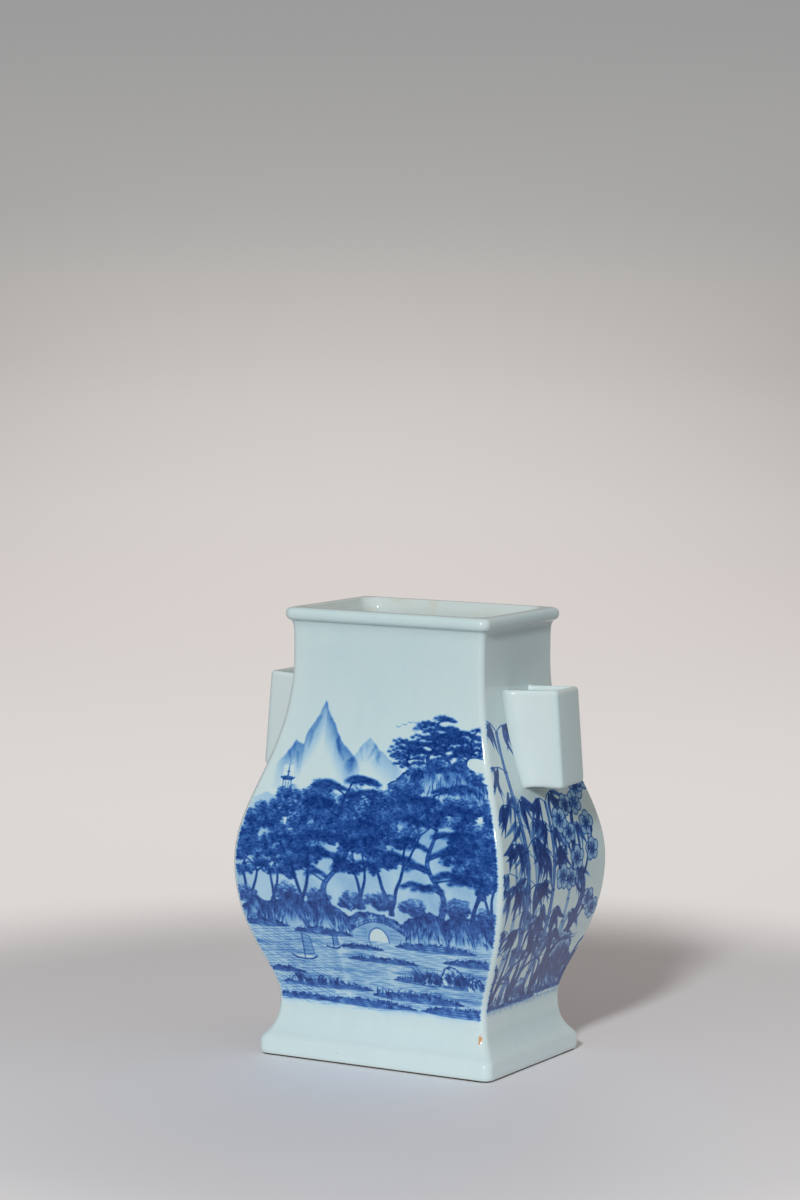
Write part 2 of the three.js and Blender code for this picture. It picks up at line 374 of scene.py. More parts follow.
def lug_section(z, thin):
    """Half of a lug's outside at a height, from the wall round to the outer face. Thin draws the
    faces in, for the rounded ends."""
    wall_x = float(outer(z)[0])
    out_x = lug_outer_x(z) - thin
    half = LUG_HALF - thin

    def wall_at(y):
        return wall_x + float(hand_wave(wall_x, y, z))
    # The fillet's feather edge starts just inside the wall
    root = half + LUG_FILLET_ALONG
    points = [(wall_at(root + 1.2) - 0.8, root + 1.2), (wall_at(root) + 0.01, root + 0.05)]
    for angle in quarter_turns(12)[::-1]:
        y = half + LUG_FILLET_ALONG * (1 - math.cos(angle))
        points.append((wall_at(y) + 0.02 + LUG_FILLET * (1 - math.sin(angle)), y))
    start, end = wall_x + LUG_FILLET, out_x - LUG_ROUND
    points += [(start + i / 6 * (end - start), half) for i in range(1, 6)]
    for angle in quarter_turns(6):
        points.append((end + LUG_ROUND * math.sin(angle), half - LUG_ROUND + LUG_ROUND * math.cos(angle)))
    return points


def lug_shape(z, thin):
    """The whole outline of a lug's clay at a height: round the outside, then round the tube."""
    outside = lug_section(z, thin)
    outside = outside + [(x, -y) for x, y in reversed(outside)]
    wall_x = float(outer(z)[0]) - 0.6
    turn_x = lug_outer_x(z) - LUG_WALL + thin - LUG_COVE
    turn_y = LUG_HALF - LUG_WALL + thin - LUG_COVE
    coves = [(LUG_COVE * math.sin(a), LUG_COVE * math.cos(a)) for a in quarter_turns(4)]
    inside = [(wall_x + LUG_COVE - along, turn_y + across) for across, along in coves]
    inside += [(turn_x + along, turn_y + across) for along, across in coves]
    inside += [(x, -y) for x, y in reversed(inside)]
    return outside + inside[::-1]


def lug_piece(name, side):
    lip = [(LUG_LIP * (1 - math.sin(a)), LUG_LIP_DEEP * (1 - math.cos(a))) for a in quarter_turns(5)]
    straight = LUG_LIP_DEEP + 1.5
    levels = [(LUG_BOTTOM + rise, thin) for thin, rise in lip]
    levels += [(z, 0) for z in np.linspace(LUG_BOTTOM + straight, LUG_TOP - straight, 24)]
    levels += [(LUG_TOP - rise, thin) for thin, rise in reversed(lip)]
    count = len(lug_shape(LUG_TOP, 0))

    def place(share, level):
        z, thin = levels[level]
        x, y = lug_shape(z, thin)[round(share * count) % count]
        top_share = (z - LUG_BOTTOM) / (LUG_TOP - LUG_BOTTOM)
        wall_x = float(outer(z)[0])
        # The clay is smoothed up and down the wall at the two ends of the root
        near = max(0, 1 - max(0, x - wall_x) / ROOT_REACH) ** 2
        rise = ROOT_RISE * near * (max(0, 1 - 10 * (1 - top_share)) - max(0, 1 - 10 * top_share))
        # The bottom is cut a little aslant, and the top rises outwards
        rise += LUG_TILT * side * y / LUG_HALF * (1 - top_share)
        outwards = min(1, max(0, (x - wall_x) / (lug_outer_x(z) - wall_x)))
        rise += float(np.interp(outwards, (0, 1), LUG_TOP_SLANT)) * top_share ** 2
        return Vector((side * x, side * y, z + rise))
    return finish_mesh(name, wrapped(count, len(levels), place))


right_lug = lug_piece("right_lug", 1)
left_lug = lug_piece("left_lug", -1)


# Painted faces: the ink is worked out on a flat sheet over each wall, as a share of full cobalt
PICTURE_LOW = 33
PICTURE_HIGH = 248
INK_STEP = 0.25
ROUND_CORNER = 2.0
INK_LAID = (0, 0.3, 0.45, 0.6, 0.75, 0.9, 1)
INK_FIRED = (0, 0.27, 0.52, 0.72, 0.86, 0.95, 1)


def blurred(cover, reach):
    """A soft copy of a mask: running means both ways, twice. Reach is in mm."""
    size = max(1, round(reach / INK_STEP))
    width = 2 * size + 1
    for axis in (0, 1, 0, 1):
        ends = [(0, 0), (0, 0)]
        ends[axis] = (size + 1, size)
        total = np.cumsum(np.pad(cover, ends, mode="edge"), axis=axis)
        count = cover.shape[axis]
        high = np.take(total, range(width, width + count), axis)
        cover = (high - np.take(total, range(count), axis)) / width
    return cover


def inside_outline(outline, xs, vs):
    """A mask of the points inside a closed outline."""
    inside = np.zeros(np.broadcast_shapes(xs.shape, vs.shape), dtype=bool)
    for (x0, v0), (x1, v1) in zip(outline, np.roll(outline, -1, axis=0)):
        slope = (x1 - x0) / (v1 - v0) if v1 != v0 else 0
        inside ^= ((v0 > vs) != (v1 > vs)) & (xs < x0 + (vs - v0) * slope)
    return inside.astype(np.float32)


class Picture:
    """A sheet of ink over one wall: x from its middle, v up the wall's own surface, in mm."""

    def __init__(self, face, seed):
        self.face = face
        self.wide = face in ("front", "back")
        self.heights = np.linspace(PICTURE_LOW, PICTURE_HIGH, 2000)
        half_x, half_y, radius = outer(self.heights)
        across, out = (half_x, half_y) if self.wide else (half_y, half_x)
        steps = np.hypot(np.diff(self.heights), np.diff(out))
        self.run = np.concatenate([[0], np.cumsum(steps)])
        self.edge = across - radius + ROUND_CORNER
        self.half = self.edge.max()
        rows, columns = int(self.run[-1] / INK_STEP) + 2, int(2 * self.half / INK_STEP) + 2
        self.ink = np.zeros((rows, columns), dtype=np.float32)
        self.random = np.random.default_rng(seed)
        self.waves = self.random.uniform(-1, 1, (10, 3))

    def v(self, z):
        return float(np.interp(z, self.heights, self.run))

    def mottle(self, xs, vs, size):
        """Soft uneven patches of about that size, as a loaded brush leaves."""
        total = 0
        for kx, kv, phase in self.waves:
            total = total + np.sin((kx * xs + kv * vs) * 6 / size + phase * 9)
        return total / 4

    def window(self, points, pad):
        rows, columns = self.ink.shape
        low = (points.min(axis=0) - pad + (self.half, 0)) / INK_STEP
        high = (points.max(axis=0) + pad + (self.half, 0)) / INK_STEP
        left, bottom = max(0, int(low[0])), max(0, int(low[1]))
        right, top = min(columns, int(high[0]) + 2), min(rows, int(high[1]) + 2)
        if left >= right or bottom >= top:
            return None
        xs = np.arange(left, right)[None, :] * INK_STEP - self.half
        vs = np.arange(bottom, top)[:, None] * INK_STEP
        return self.ink[bottom:top, left:right], xs, vs

    def line(self, points, widths, strength, soft=0.25):
        """A brush line through points (x, v), with a width at each."""
        points = np.asarray(points, dtype=float)
        widths = np.broadcast_to(np.asarray(widths, dtype=float), (len(points),))
        found = self.window(points, widths.max() / 2 + soft)
        if found is None:
            return
        area, xs, vs = found
        cover = np.zeros(area.shape, dtype=np.float32)
        for (x0, v0), (x1, v1), w0, w1 in zip(points[:-1], points[1:], widths[:-1], widths[1:]):
            dx, dv = x1 - x0, v1 - v0
            along = np.clip(((xs - x0) * dx + (vs - v0) * dv) / (dx * dx + dv * dv + 1e-9), 0, 1)
            apart = np.hypot(xs - x0 - along * dx, vs - v0 - along * dv)
            np.maximum(cover, (w0 + along * (w1 - w0)) / 2 + soft - apart, out=cover)
        area += (1 - area) * np.clip(cover / (2 * soft), 0, 1) * strength

    def stroke(self, points, width, strength, steps=4):
        """A springing brush stroke that thins to a point."""
        line = curve(points, steps)
        share = np.linspace(0, 1, len(line))
        self.line(line, width * (1 - share ** 2) * np.minimum(1, 0.35 + 4 * share) + 0.1, strength)

    def under(self, outline, soft):
        """The ink around an outline, the places there, and a soft mask of the outline."""
        outline = np.asarray(outline, dtype=float)
        found = self.window(outline, 2 * soft + INK_STEP)
        if found is None:
            return None
        area, xs, vs = found
        return area, xs, vs, blurred(inside_outline(outline, xs, vs), soft)

    def wash(self, outline, strength, soft=0.5, fade=None, patch=14, patchy=0.15):
        """A wash inside an outline, uneven as a loaded brush leaves it."""
        found = self.under(outline, soft)
        if found is None:
            return
        area, xs, vs, mask = found
        cover = mask * strength
        cover *= 1 + patchy * self.mottle(xs, vs, patch)
        if fade:
            cover *= fade(xs, vs)
        area += (1 - area) * np.clip(cover, 0, 1)

    def clear(self, outline, soft=0.3, left=0.0):
        """Keep a shape free of what was laid under it."""
        found = self.under(outline, soft)
        if found is None:
            return
        area, _, _, mask = found
        area *= 1 - (1 - left) * mask


def craggy(random, points, rough, times=4):
    """A line through points, broken into a craggy one."""
    points = [np.array(point, dtype=float) for point in points]
    for _ in range(times):
        made = [points[0]]
        for low, high in zip(points[:-1], points[1:]):
            side = np.array([low[1] - high[1], high[0] - low[0]])
            made += [(low + high) / 2 + side * random.uniform(-1, 1) * rough, high]
        points = made
        rough *= 0.8
    return np.array(points)


def curve(points, steps=6):
    """A smooth line through a few points."""
    points = [np.array(point, dtype=float) for point in points]
    points = [2 * points[0] - points[1]] + points + [2 * points[-1] - points[-2]]
    made = []
    for a, b, c, d in zip(points[:-3], points[1:-2], points[2:-1], points[3:]):
        for t in np.linspace(0, 1, steps, endpoint=False):
            bend = (2 * a - 5 * b + 4 * c - d) * t * t + (3 * b - a - 3 * c + d) * t ** 3
            made.append(0.5 * (2 * b + (c - a) * t + bend))
    return np.array(made + [points[-2]])


def ridge(picture, crest, rough):
    """The craggy crest of a peak or a hill, and the x and v of its points from left to right."""
    crest = craggy(picture.random, [(x, picture.v(z)) for x, z in crest], rough)
    order = np.argsort(crest[:, 0])
    return crest, crest[order, 0], crest[order, 1]


def far_peak(picture, crest, strength, drop):
    """A distant peak: a pale wash, firm at the crest and lost in mist below, with faint folds."""
    random = picture.random
    crest, crest_x, crest_v = ridge(picture, crest, 0.1)
    low = crest_v.min() - drop
    outline = [*crest, (crest[-1][0], low), (crest[0][0], low)]
    ends = (crest_x[-1] - crest_x[0]) * 0.12

    def fade(xs, vs):
        depth = np.interp(xs, crest_x, crest_v) - vs
        sides = np.clip(np.minimum(xs - crest_x[0], crest_x[-1] - xs) / ends, 0, 1)
        return np.clip(1.05 - np.maximum(depth, 0) / (1.6 * drop), 0, 1) ** 1.2 * sides ** 0.7
    picture.wash(outline, strength, soft=0.35, fade=fade, patch=20)
    for _ in range(9):
        x = random.uniform(crest_x[0] + ends, crest_x[-1] - ends)
        v = float(np.interp(x, crest_x, crest_v)) - random.uniform(0, 0.5) * drop
        lean = random.uniform(-2.5, 2.5)
        fold = curve([(x, v), (x + lean, v - drop * 0.3), (x + lean * 2.2, v - drop * 0.6)])
        picture.line(fold, np.linspace(2.4, 0.8, len(fold)), strength * 0.45, soft=0.9)


def crag(picture, crest, low, strength, strokes):
    """A near hill of rock: a wash from the crest down, an outline and slanting texture strokes."""
    random = picture.random
    crest, crest_x, crest_v = ridge(picture, crest, 0.16)
    low = picture.v(low)
    outline = [*crest, (crest[-1][0], low), (crest[0][0], low)]

    def fade(xs, vs):
        top = np.interp(xs, crest_x, crest_v)
        return np.clip(1.2 - (top - vs) / np.maximum(top - low, 1), 0, 1)
    picture.clear(outline, 0.4, 0.35)
    picture.wash(outline, strength, soft=0.4, fade=fade, patch=7, patchy=0.35)
    picture.line(crest, random.uniform(0.4, 1.0, len(crest)), 0.8)
    for _ in range(strokes):
        x = random.uniform(crest_x[0], crest_x[-1])
        top = np.interp(x, crest_x, crest_v)
        slope = np.interp(x + 3, crest_x, crest_v) - np.interp(x - 3, crest_x, crest_v)
        v = top - random.uniform(0, 0.75) * (top - low)
        lean = np.clip(-slope / 6, -1, 1) * random.uniform(0.5, 1) + random.uniform(-0.15, 0.15)
        length = random.uniform(3, 7) * min(1, (top - low) / 14)
        points = [(x, v), (x + lean * length * 0.5, v - length * 0.45),
                  (x + lean * length * 0.7, v - length)]
        picture.stroke(points, random.uniform(0.5, 1.0), random.uniform(0.4, 0.85), 2)
    for _ in range(strokes // 4):
        x = random.uniform(crest_x[0], crest_x[-1])
        v = np.interp(x, crest_x, crest_v) + random.uniform(-1.2, 0.6)
        picture.line([(x - 0.4, v), (x + 0.4, v + 0.1)], random.uniform(0.8, 1.5), 0.85)


def limb(picture, start, angle, length, width, depth, tips, bend=0.28):
    """A limb and its smaller limbs. Tips are where the leaves go."""
    random = picture.random
    points = [np.array(start, dtype=float)]
    for _ in range(4):
        angle += random.uniform(-bend, bend)
        points.append(points[-1] + (math.cos(angle) * length / 4, math.sin(angle) * length / 4))
    line = curve(points, 3)
    picture.line(line, np.linspace(width, width * 0.6, len(line)), 0.88)
    tips.append(points[-1])
    if depth == 0:
        return
    for side in (-1, 1):
        limb(picture, points[-1], angle + side * random.uniform(0.25, 0.7),
             length * random.uniform(0.55, 0.8), width * 0.6, depth - 1, tips, bend)


def bark_edges(picture, trunk, widths, width, strength):
    """The two edges of a trunk."""
    for side in (-1, 1):
        picture.line(trunk + np.stack([side * widths / 2, 0 * widths], 1), width, strength)


def bark_marks(picture, spots, widths, width, strength, reach, rise):
    """Curved marks across a trunk, at these spots on its middle line."""
    for spot, across in zip(spots, reach * widths):
        arc = [spot + (-across, rise), spot - (0, rise), spot + (across, rise)]
        picture.line(curve(arc, 2), width, strength)


def clump(picture, x, v, wide, tall, strength=0.62):
    """A clump of leaves: a lobed wash, dark below and light on top, with level dabs over it."""
    random = picture.random
    turns = np.linspace(0, 2 * math.pi, 28)
    lobes = 1 + 0.13 * np.sin(3 * turns + x) + 0.09 * np.sin(7 * turns + v)
    shape = np.stack([x + wide / 2 * lobes * np.cos(turns), v + tall / 2 * lobes * np.sin(turns)], 1)
    picture.clear(shape, 0.7, 0.4)

    def fade(xs, vs):
        return np.clip(0.85 - 0.85 * (vs - v) / tall, 0.3, 1.3)
    picture.wash(shape, strength, soft=0.7, fade=fade, patch=5, patchy=0.3)
    for _ in range(int(wide * tall * 0.6) + 8):
        turn, far = random.uniform(0, 2 * math.pi), random.uniform() ** 0.5
        far *= 1.06 + 0.13 * math.sin(3 * turn + x) + 0.09 * math.sin(7 * turn + v)
        cx, cv = x + wide / 2 * far * math.cos(turn), v + tall / 2 * far * math.sin(turn)
        shade = 0.8 + 0.75 * (v - cv) / tall
        length = random.uniform(0.6, 1.7)
        droop = random.uniform(-0.45, 0.1)
        picture.line([(cx - length / 2, cv), (cx + length / 2, cv + droop)], random.uniform(0.5, 0.9),
                     min(0.92, strength * random.uniform(0.6, 1.5) * shade))


def leafy_tree(picture, x, z, tall, wide, lean=0.0, strength=0.62):
    """A leafy tree: forked trunks, and a crown of clumps with light between them."""
    random = picture.random
    v = picture.v(z)
    tips = []
    for side in (-0.2, 0.12):
        limb(picture, (x + side * 5, v), math.pi / 2 + side - lean, tall * 0.4, 1.2 + tall / 45, 3, tips)
    for cx, cv in tips[2:]:
        if cv > v + 0.3 * tall:
            clump(picture, cx, cv, wide * random.uniform(0.2, 0.34), tall * random.uniform(0.1, 0.17),
                  strength)
    for share in np.linspace(0.42, 0.95, 8):
        spread = wide * (0.5 - 0.42 * abs(share - 0.55))
        cx = x + lean * tall * share + random.uniform(-1, 1) * spread * 0.8
        clump(picture, cx, v + tall * share, wide * random.uniform(0.28, 0.42),
              tall * random.uniform(0.11, 0.18), strength)


def needle_cloud(picture, x, v, wide, strength=0.7):
    """A level cloud of pine needles: a soft wash under overlapping fans of fine strokes."""
    random = picture.random
    tall = wide * random.uniform(0.26, 0.36)
    centres = np.linspace(x - wide / 2, x + wide / 2, max(3, int(wide / 1.9)))
    lifts = v + tall * 0.6 * (1 - ((centres - x) / (wide / 2 + 0.1)) ** 2)
    for cx, cv in zip(centres, lifts):
        picture.line([(cx - 1.2, cv), (cx + 1.2, cv)], tall * 0.75, 0.5 * strength, soft=0.8)
    for cx, cv in zip(centres, lifts):
        cv += random.uniform(-0.25, 0.15) * tall
        for angle in np.linspace(0, math.pi, 10):
            angle += random.uniform(-0.12, 0.12)
            reach = random.uniform(1.6, 2.5) * (0.75 + 0.25 * math.sin(angle))
            way = np.array([math.cos(angle), math.sin(angle) * 0.85])
            spot = np.array([cx, cv])
            press = min(0.95, strength * random.uniform(0.8, 1.3))
            picture.line([spot + way * 0.2, spot + way * reach], [0.42, 0.16], press, soft=0.18)


def pine(picture, x, z, tall, wide, lean=0.12):
    """An old pine: a bent trunk with bark marks, and clouds of needles on short limbs."""
    random = picture.random
    v = picture.v(z)
    sway = random.uniform(0.05, 0.09) * tall * (1 if lean > 0 else -1)
    bends = ((0, 0, 0), (0, -0.6, 0.18), (0.4, 1, 0.42), (0.7, -0.5, 0.68), (1, 0, 0.93))
    trunk = curve([(x + lean * tall * out + sway * bend, v + tall * up) for out, bend, up in bends], 8)
    widths = np.linspace(tall * 0.04 + 1, 0.8, len(trunk))
    picture.line(trunk, widths, 0.5, soft=0.4)
    bark_edges(picture, trunk, widths, 0.5, 0.85)
    bark_marks(picture, trunk[1:-8:2], widths[1:-8:2], 0.35, 0.7, 0.3, 0.4)
    for index, share in enumerate(np.linspace(0.3, 1.0, 10)):
        base = trunk[int(share * (len(trunk) - 1))]
        side = 1 if index % 2 else -1
        reach = wide * 0.5 * random.uniform(0.7, 1.0) * (1.1 - 0.8 * abs(share - 0.5))
        tip = base + (side * reach, random.uniform(-0.03, 0.09) * tall)
        middle = (base + tip) / 2 + (0, random.uniform(0.5, 2.5))
        line = curve([base, middle, tip], 4)
        picture.line(line, np.linspace(1.2, 0.5, len(line)), 0.88)
        for spot in (0.35, 0.7, 1.0):
            cx, cv = base + (tip - base) * spot + (0, random.uniform(-0.5, 2))
            needle_cloud(picture, cx, cv, min(wide * 0.32, 20) * random.uniform(0.7, 1.05))


def ripples(picture, x0, x1, z0, z1, strength=0.42, slant=0.05, gap=1.25):
    """Water: close rows of fine broken lines, a little slanted."""
    random = picture.random
    v, high = picture.v(z0), picture.v(z1)
    while v < high:
        x = x0 + random.uniform(0, 6)
        while x < x1:
            length = random.uniform(7, 22)
            xs = np.linspace(x, min(x + length, x1), 7)
            vs = v + 0.3 * np.sin(xs / 2.6 + v * 1.7) + slant * (xs - x0)
            press = strength * random.uniform(0.5, 1.1)
            picture.line(np.stack([xs, vs], 1), [0.1, 0.35, 0.45, 0.45, 0.4, 0.3, 0.1], press)
            x += length + random.uniform(0.6, 4)
        v += gap * random.uniform(0.75, 1.2)


def hatched_water(picture, x0, x1, z0, z1, strength=0.5):
    """Water drawn as two sets of close slanting lines that cross, each broken in places."""
    random = picture.random
    low, high = picture.v(z0), picture.v(z1)
    xs = np.linspace(x0, x1, 40)
    for slope, gap in ((-0.42, 2.3), (0.12, 2.0)):
        drop = abs(slope) * (x1 - x0)
        for v in np.arange(low - drop, high + drop, gap):
            vs = v + slope * (xs - (x0 if slope > 0 else x1)) + 0.25 * np.sin(xs / 4 + v)
            shown = (vs > low + 1.5 * np.sin(xs / 6)) & (vs < high + 2 * np.sin(xs / 9))
            for first in range(0, 35, 4):
                part = slice(first, first + 5)
                if shown[part].all() and random.uniform() < 0.86:
                    line = np.stack([xs[part], vs[part]], 1)
                    picture.line(line, [0.25, 0.45, 0.5, 0.45, 0.25], strength * random.uniform(0.6, 1.1))


def bank(picture, x, z, half, thick, strength=0.6, dots=60):
    """A low spit of land: washes with dark waterlines, moss dots and short grass."""
    random = picture.random
    v = picture.v(z)
    xs = np.linspace(x - half, x + half, 15)
    hump = np.sin(np.linspace(0, math.pi, 15)) ** 0.6
    top = v + thick * hump * random.uniform(0.7, 1.15, 15)
    low = v - thick * 0.35 * hump
    outline = [*zip(xs, top), *zip(xs[::-1], low[::-1])]
    picture.clear(outline, 0.4, 0.2)
    picture.wash(outline, strength * 0.85, soft=0.5, patch=6, patchy=0.35)
    for share in (0.0, 0.25, 0.5, 0.75):
        line = np.stack([xs, low + share * (top - low) + random.uniform(-0.25, 0.25, 15)], 1)
        picture.line(line, random.uniform(0.3, 0.8, 15), strength)
    for _ in range(dots):
        dot_x = random.uniform(x - half + 1, x + half - 1)
        dot_v = np.interp(dot_x, xs, top) + random.uniform(-1.2, 0.4)
        if random.uniform() < 0.6:
            picture.line([(dot_x - 0.5, dot_v), (dot_x + 0.5, dot_v + 0.1)], 0.9, 0.85)
        else:
            tip = (dot_x + random.uniform(-0.6, 0.6), dot_v + random.uniform(1.2, 2.4))
            picture.line([(dot_x, dot_v), tip], [0.5, 0.15], 0.85)


def boulder(picture, x, z, wide, tall, strength=0.55):
    """A rock: craggy outline, wash down its shaded side, hollows and moss dots."""
    random = picture.random
    v = picture.v(z)
    shape = [(x - wide / 2, v), (x - wide * 0.38, v + tall * 0.55), (x - wide * 0.08, v + tall),
             (x + wide * 0.25, v + tall * 0.74), (x + wide * 0.36, v + tall * 0.4), (x + wide / 2, v)]
    top = craggy(random, shape, 0.17, 3)
    picture.clear(top)

    def fade(xs, vs):
        return np.clip(0.5 + (xs - x) / wide, 0.15, 1)
    picture.wash(top, strength, soft=0.4, fade=fade, patch=5, patchy=0.4)
    picture.line(top, random.uniform(0.5, 1.2, len(top)), 0.85)
    for _ in range(int(wide * tall / 7) + 5):
        share = random.uniform(-0.34, 0.38)
        start = np.array([x + share * wide, v + tall * random.uniform(0.3, 0.85) * (1 - abs(share))])
        end = start + (random.uniform(0, 0.14) * wide, -random.uniform(0.15, 0.35) * tall)
        picture.stroke([start, (start + end) / 2 + random.uniform(-0.5, 0.5, 2), end], 0.9, 0.7, 2)
    for _ in range(int(wide)):
        spot = top[random.integers(2, len(top) - 2)] + random.uniform(-0.8, 0.8, 2)
        picture.line([spot, spot + (0.6, 0)], random.uniform(0.6, 1.2), 0.85)


def pagoda(picture, x, z, tiers, wide, tall):
    """A small tower of diminishing tiers with upturned eaves."""
    v = picture.v(z)
    step = tall / (tiers + 0.9)
    half = wide / 2
    picture.clear([(x - half, v), (x + half, v), (x + half * 0.5, v + tall), (x - half * 0.5, v + tall)])
    for tier in range(tiers):
        half = wide / 2 * (1 - 0.5 * tier / tiers)
        low = v + tier * step
        body, eave = half * 0.68, half * 1.15
        for side in (-1, 1):
            post, slit = x + side * body, x + side * body * 0.35
            picture.line([(post, low), (post, low + step * 0.75)], 0.5, 0.85)
            picture.line([(slit, low + 0.8), (slit, low + step * 0.5)], 0.8, 0.55)
        sag = ((-eave, 0.88), (-body * 0.8, 0.66), (0, 0.7), (body * 0.8, 0.66), (eave, 0.88))
        roof = curve([(x + out, low + step * up) for out, up in sag], 4)
        picture.wash([*roof, (x + body * 0.7, low + step), (x - body * 0.7, low + step)], 0.75, soft=0.25)
        picture.line(roof, 0.7, 0.92)
    peak = v + tiers * step
    picture.line([(x, peak), (x, peak + step)], [1.1, 0.3], 0.9)
    picture.line([(x - 1, peak + step * 0.35), (x + 1, peak + step * 0.35)], 0.5, 0.88)


def arched_bridge(picture, x, z, wide, tall):
    """A humped stone bridge with one round arch, coursed stones and a rail."""
    v = picture.v(z)
    xs = np.linspace(-1, 1, 21)
    deck = np.stack([x + xs * wide / 2, v + tall * (0.3 + 0.7 * np.cos(xs * 1.35))], 1)
    arch = [(x + wide * 0.19 * math.cos(turn), v + tall * 0.7 * math.sin(turn))
            for turn in np.linspace(0, math.pi, 15)]
    picture.clear([*deck, (x + wide / 2, v), (x - wide / 2, v)])
    picture.wash([*deck, (x + wide / 2, v), *arch, (x - wide / 2, v)], 0.35, soft=0.25)
    for line, width in ((deck, 0.7), (deck + (0, 1.6), 0.4), (arch, 0.7)):
        picture.line(line, width, 0.85)
    for point in deck[1::2]:
        picture.line([point, point + (0, 2.1)], 0.45, 0.85)
    for row in range(1, 4):
        level = v + tall * 0.2 * row
        for side in (-1, 1):
            far = wide * (0.47 - 0.03 * row)
            picture.line([(x + side * wide * 0.22, level), (x + side * far, level)], 0.3, 0.55)


def sail_boat(picture, x, z, size, way=1):
    """A sailing boat with one battened sail, and its broken reflection."""
    v = picture.v(z)

    def at(across, up):
        return (x + way * size * across, v + size * up)
    sail = [at(0.03, 1.2), at(0.4, 1.08), at(0.5, 0.28), at(0.03, 0.2)]
    for points in (sail, [at(-0.6, 0.12), at(-0.3, -0.05), at(0.35, -0.05), at(0.6, 0.15)]):
        picture.clear(points, 0.5)
    hull = curve([at(-0.6, 0.14), at(-0.3, 0.01), at(0.3, 0.01), at(0.62, 0.18)], 4)
    picture.line(hull, [0.6] + [1.3] * (len(hull) - 2) + [0.5], 0.88)
    picture.line([at(0, 0), at(0.02, 1.28)], [0.6, 0.35], 0.88)
    picture.wash(sail, 0.4, soft=0.2)
    for low, high in zip(sail, sail[1:] + sail[:1]):
        picture.line([low, high], 0.4, 0.8)
    for share in np.linspace(0.2, 0.8, 4):
        picture.line([at(0.03, 0.2 + share), at(0.47, 0.28 + share * 0.8)], 0.3, 0.65)
    for drop in (0.14, 0.3, 0.46):
        picture.line([at(-0.3, -drop), at(0, -drop - 0.02), at(0.3, -drop)], [0.1, 0.45, 0.1], 0.45)


def grass(picture, x, z, half, tall, count, strength=0.8):
    """Long grass: blades that spring up and bend over."""
    random = picture.random
    v = picture.v(z)
    for _ in range(count):
        base = x + random.uniform(-1, 1) * half
        lean, high = random.uniform(-0.7, 0.7), random.uniform(0.4, 1) * tall
        points = [(base, v + random.uniform(-1, 1)), (base + lean * high * 0.3, v + high * 0.6),
                  (base + lean * high, v + high * 0.95)]
        picture.stroke(points, 0.9, strength * random.uniform(0.7, 1.1), 3)


def geese(picture, x, z, count):
    v = picture.v(z)
    for i in range(count):
        cx, cv = x + i * 4.4, v - abs(i - count / 2) * 1.7
        wings = [(cx - 1.7, cv + 0.7), (cx - 0.5, cv + 0.1), (cx, cv + 0.3), (cx + 0.5, cv + 0.1),
                 (cx + 1.7, cv + 0.8)]
        picture.line(curve(wings, 3), 0.4, 0.6)


def soften_edges(picture):
    """The painter stops unevenly short of the corners, and lets the foreground go below. The
    cobalt is never flat: it sinks in a fine grain and heaps up in places."""
    rows, columns = picture.ink.shape
    picture.ink = np.interp(picture.ink, INK_LAID, INK_FIRED).astype(np.float32)
    for reach, depth in ((0.3, 0.4), (1.2, 0.3)):
        grain = blurred(picture.random.standard_normal(picture.ink.shape), reach)
        picture.ink *= 1 - depth * 0.13 * np.clip(grain / grain.std() + 0.6, -0.6, 3)
    vs = np.arange(rows)[:, None] * INK_STEP
    xs = np.arange(columns)[None, :] * INK_STEP - picture.half
    edge = np.interp(vs, picture.run, picture.edge) - 0.5
    ragged = 0.5 * np.sin(vs * 1.9) * np.sin(vs * 0.73 + 1) + 0.3 * np.sin(vs * 4.7 + xs)
    picture.ink *= np.clip((edge - np.abs(xs) + ragged) / 0.9, 0, 1)
    picture.ink *= np.clip(vs / 4 + 0.35 * np.sin(xs / 7) + 0.2 * np.sin(xs / 2.3), 0, 1)


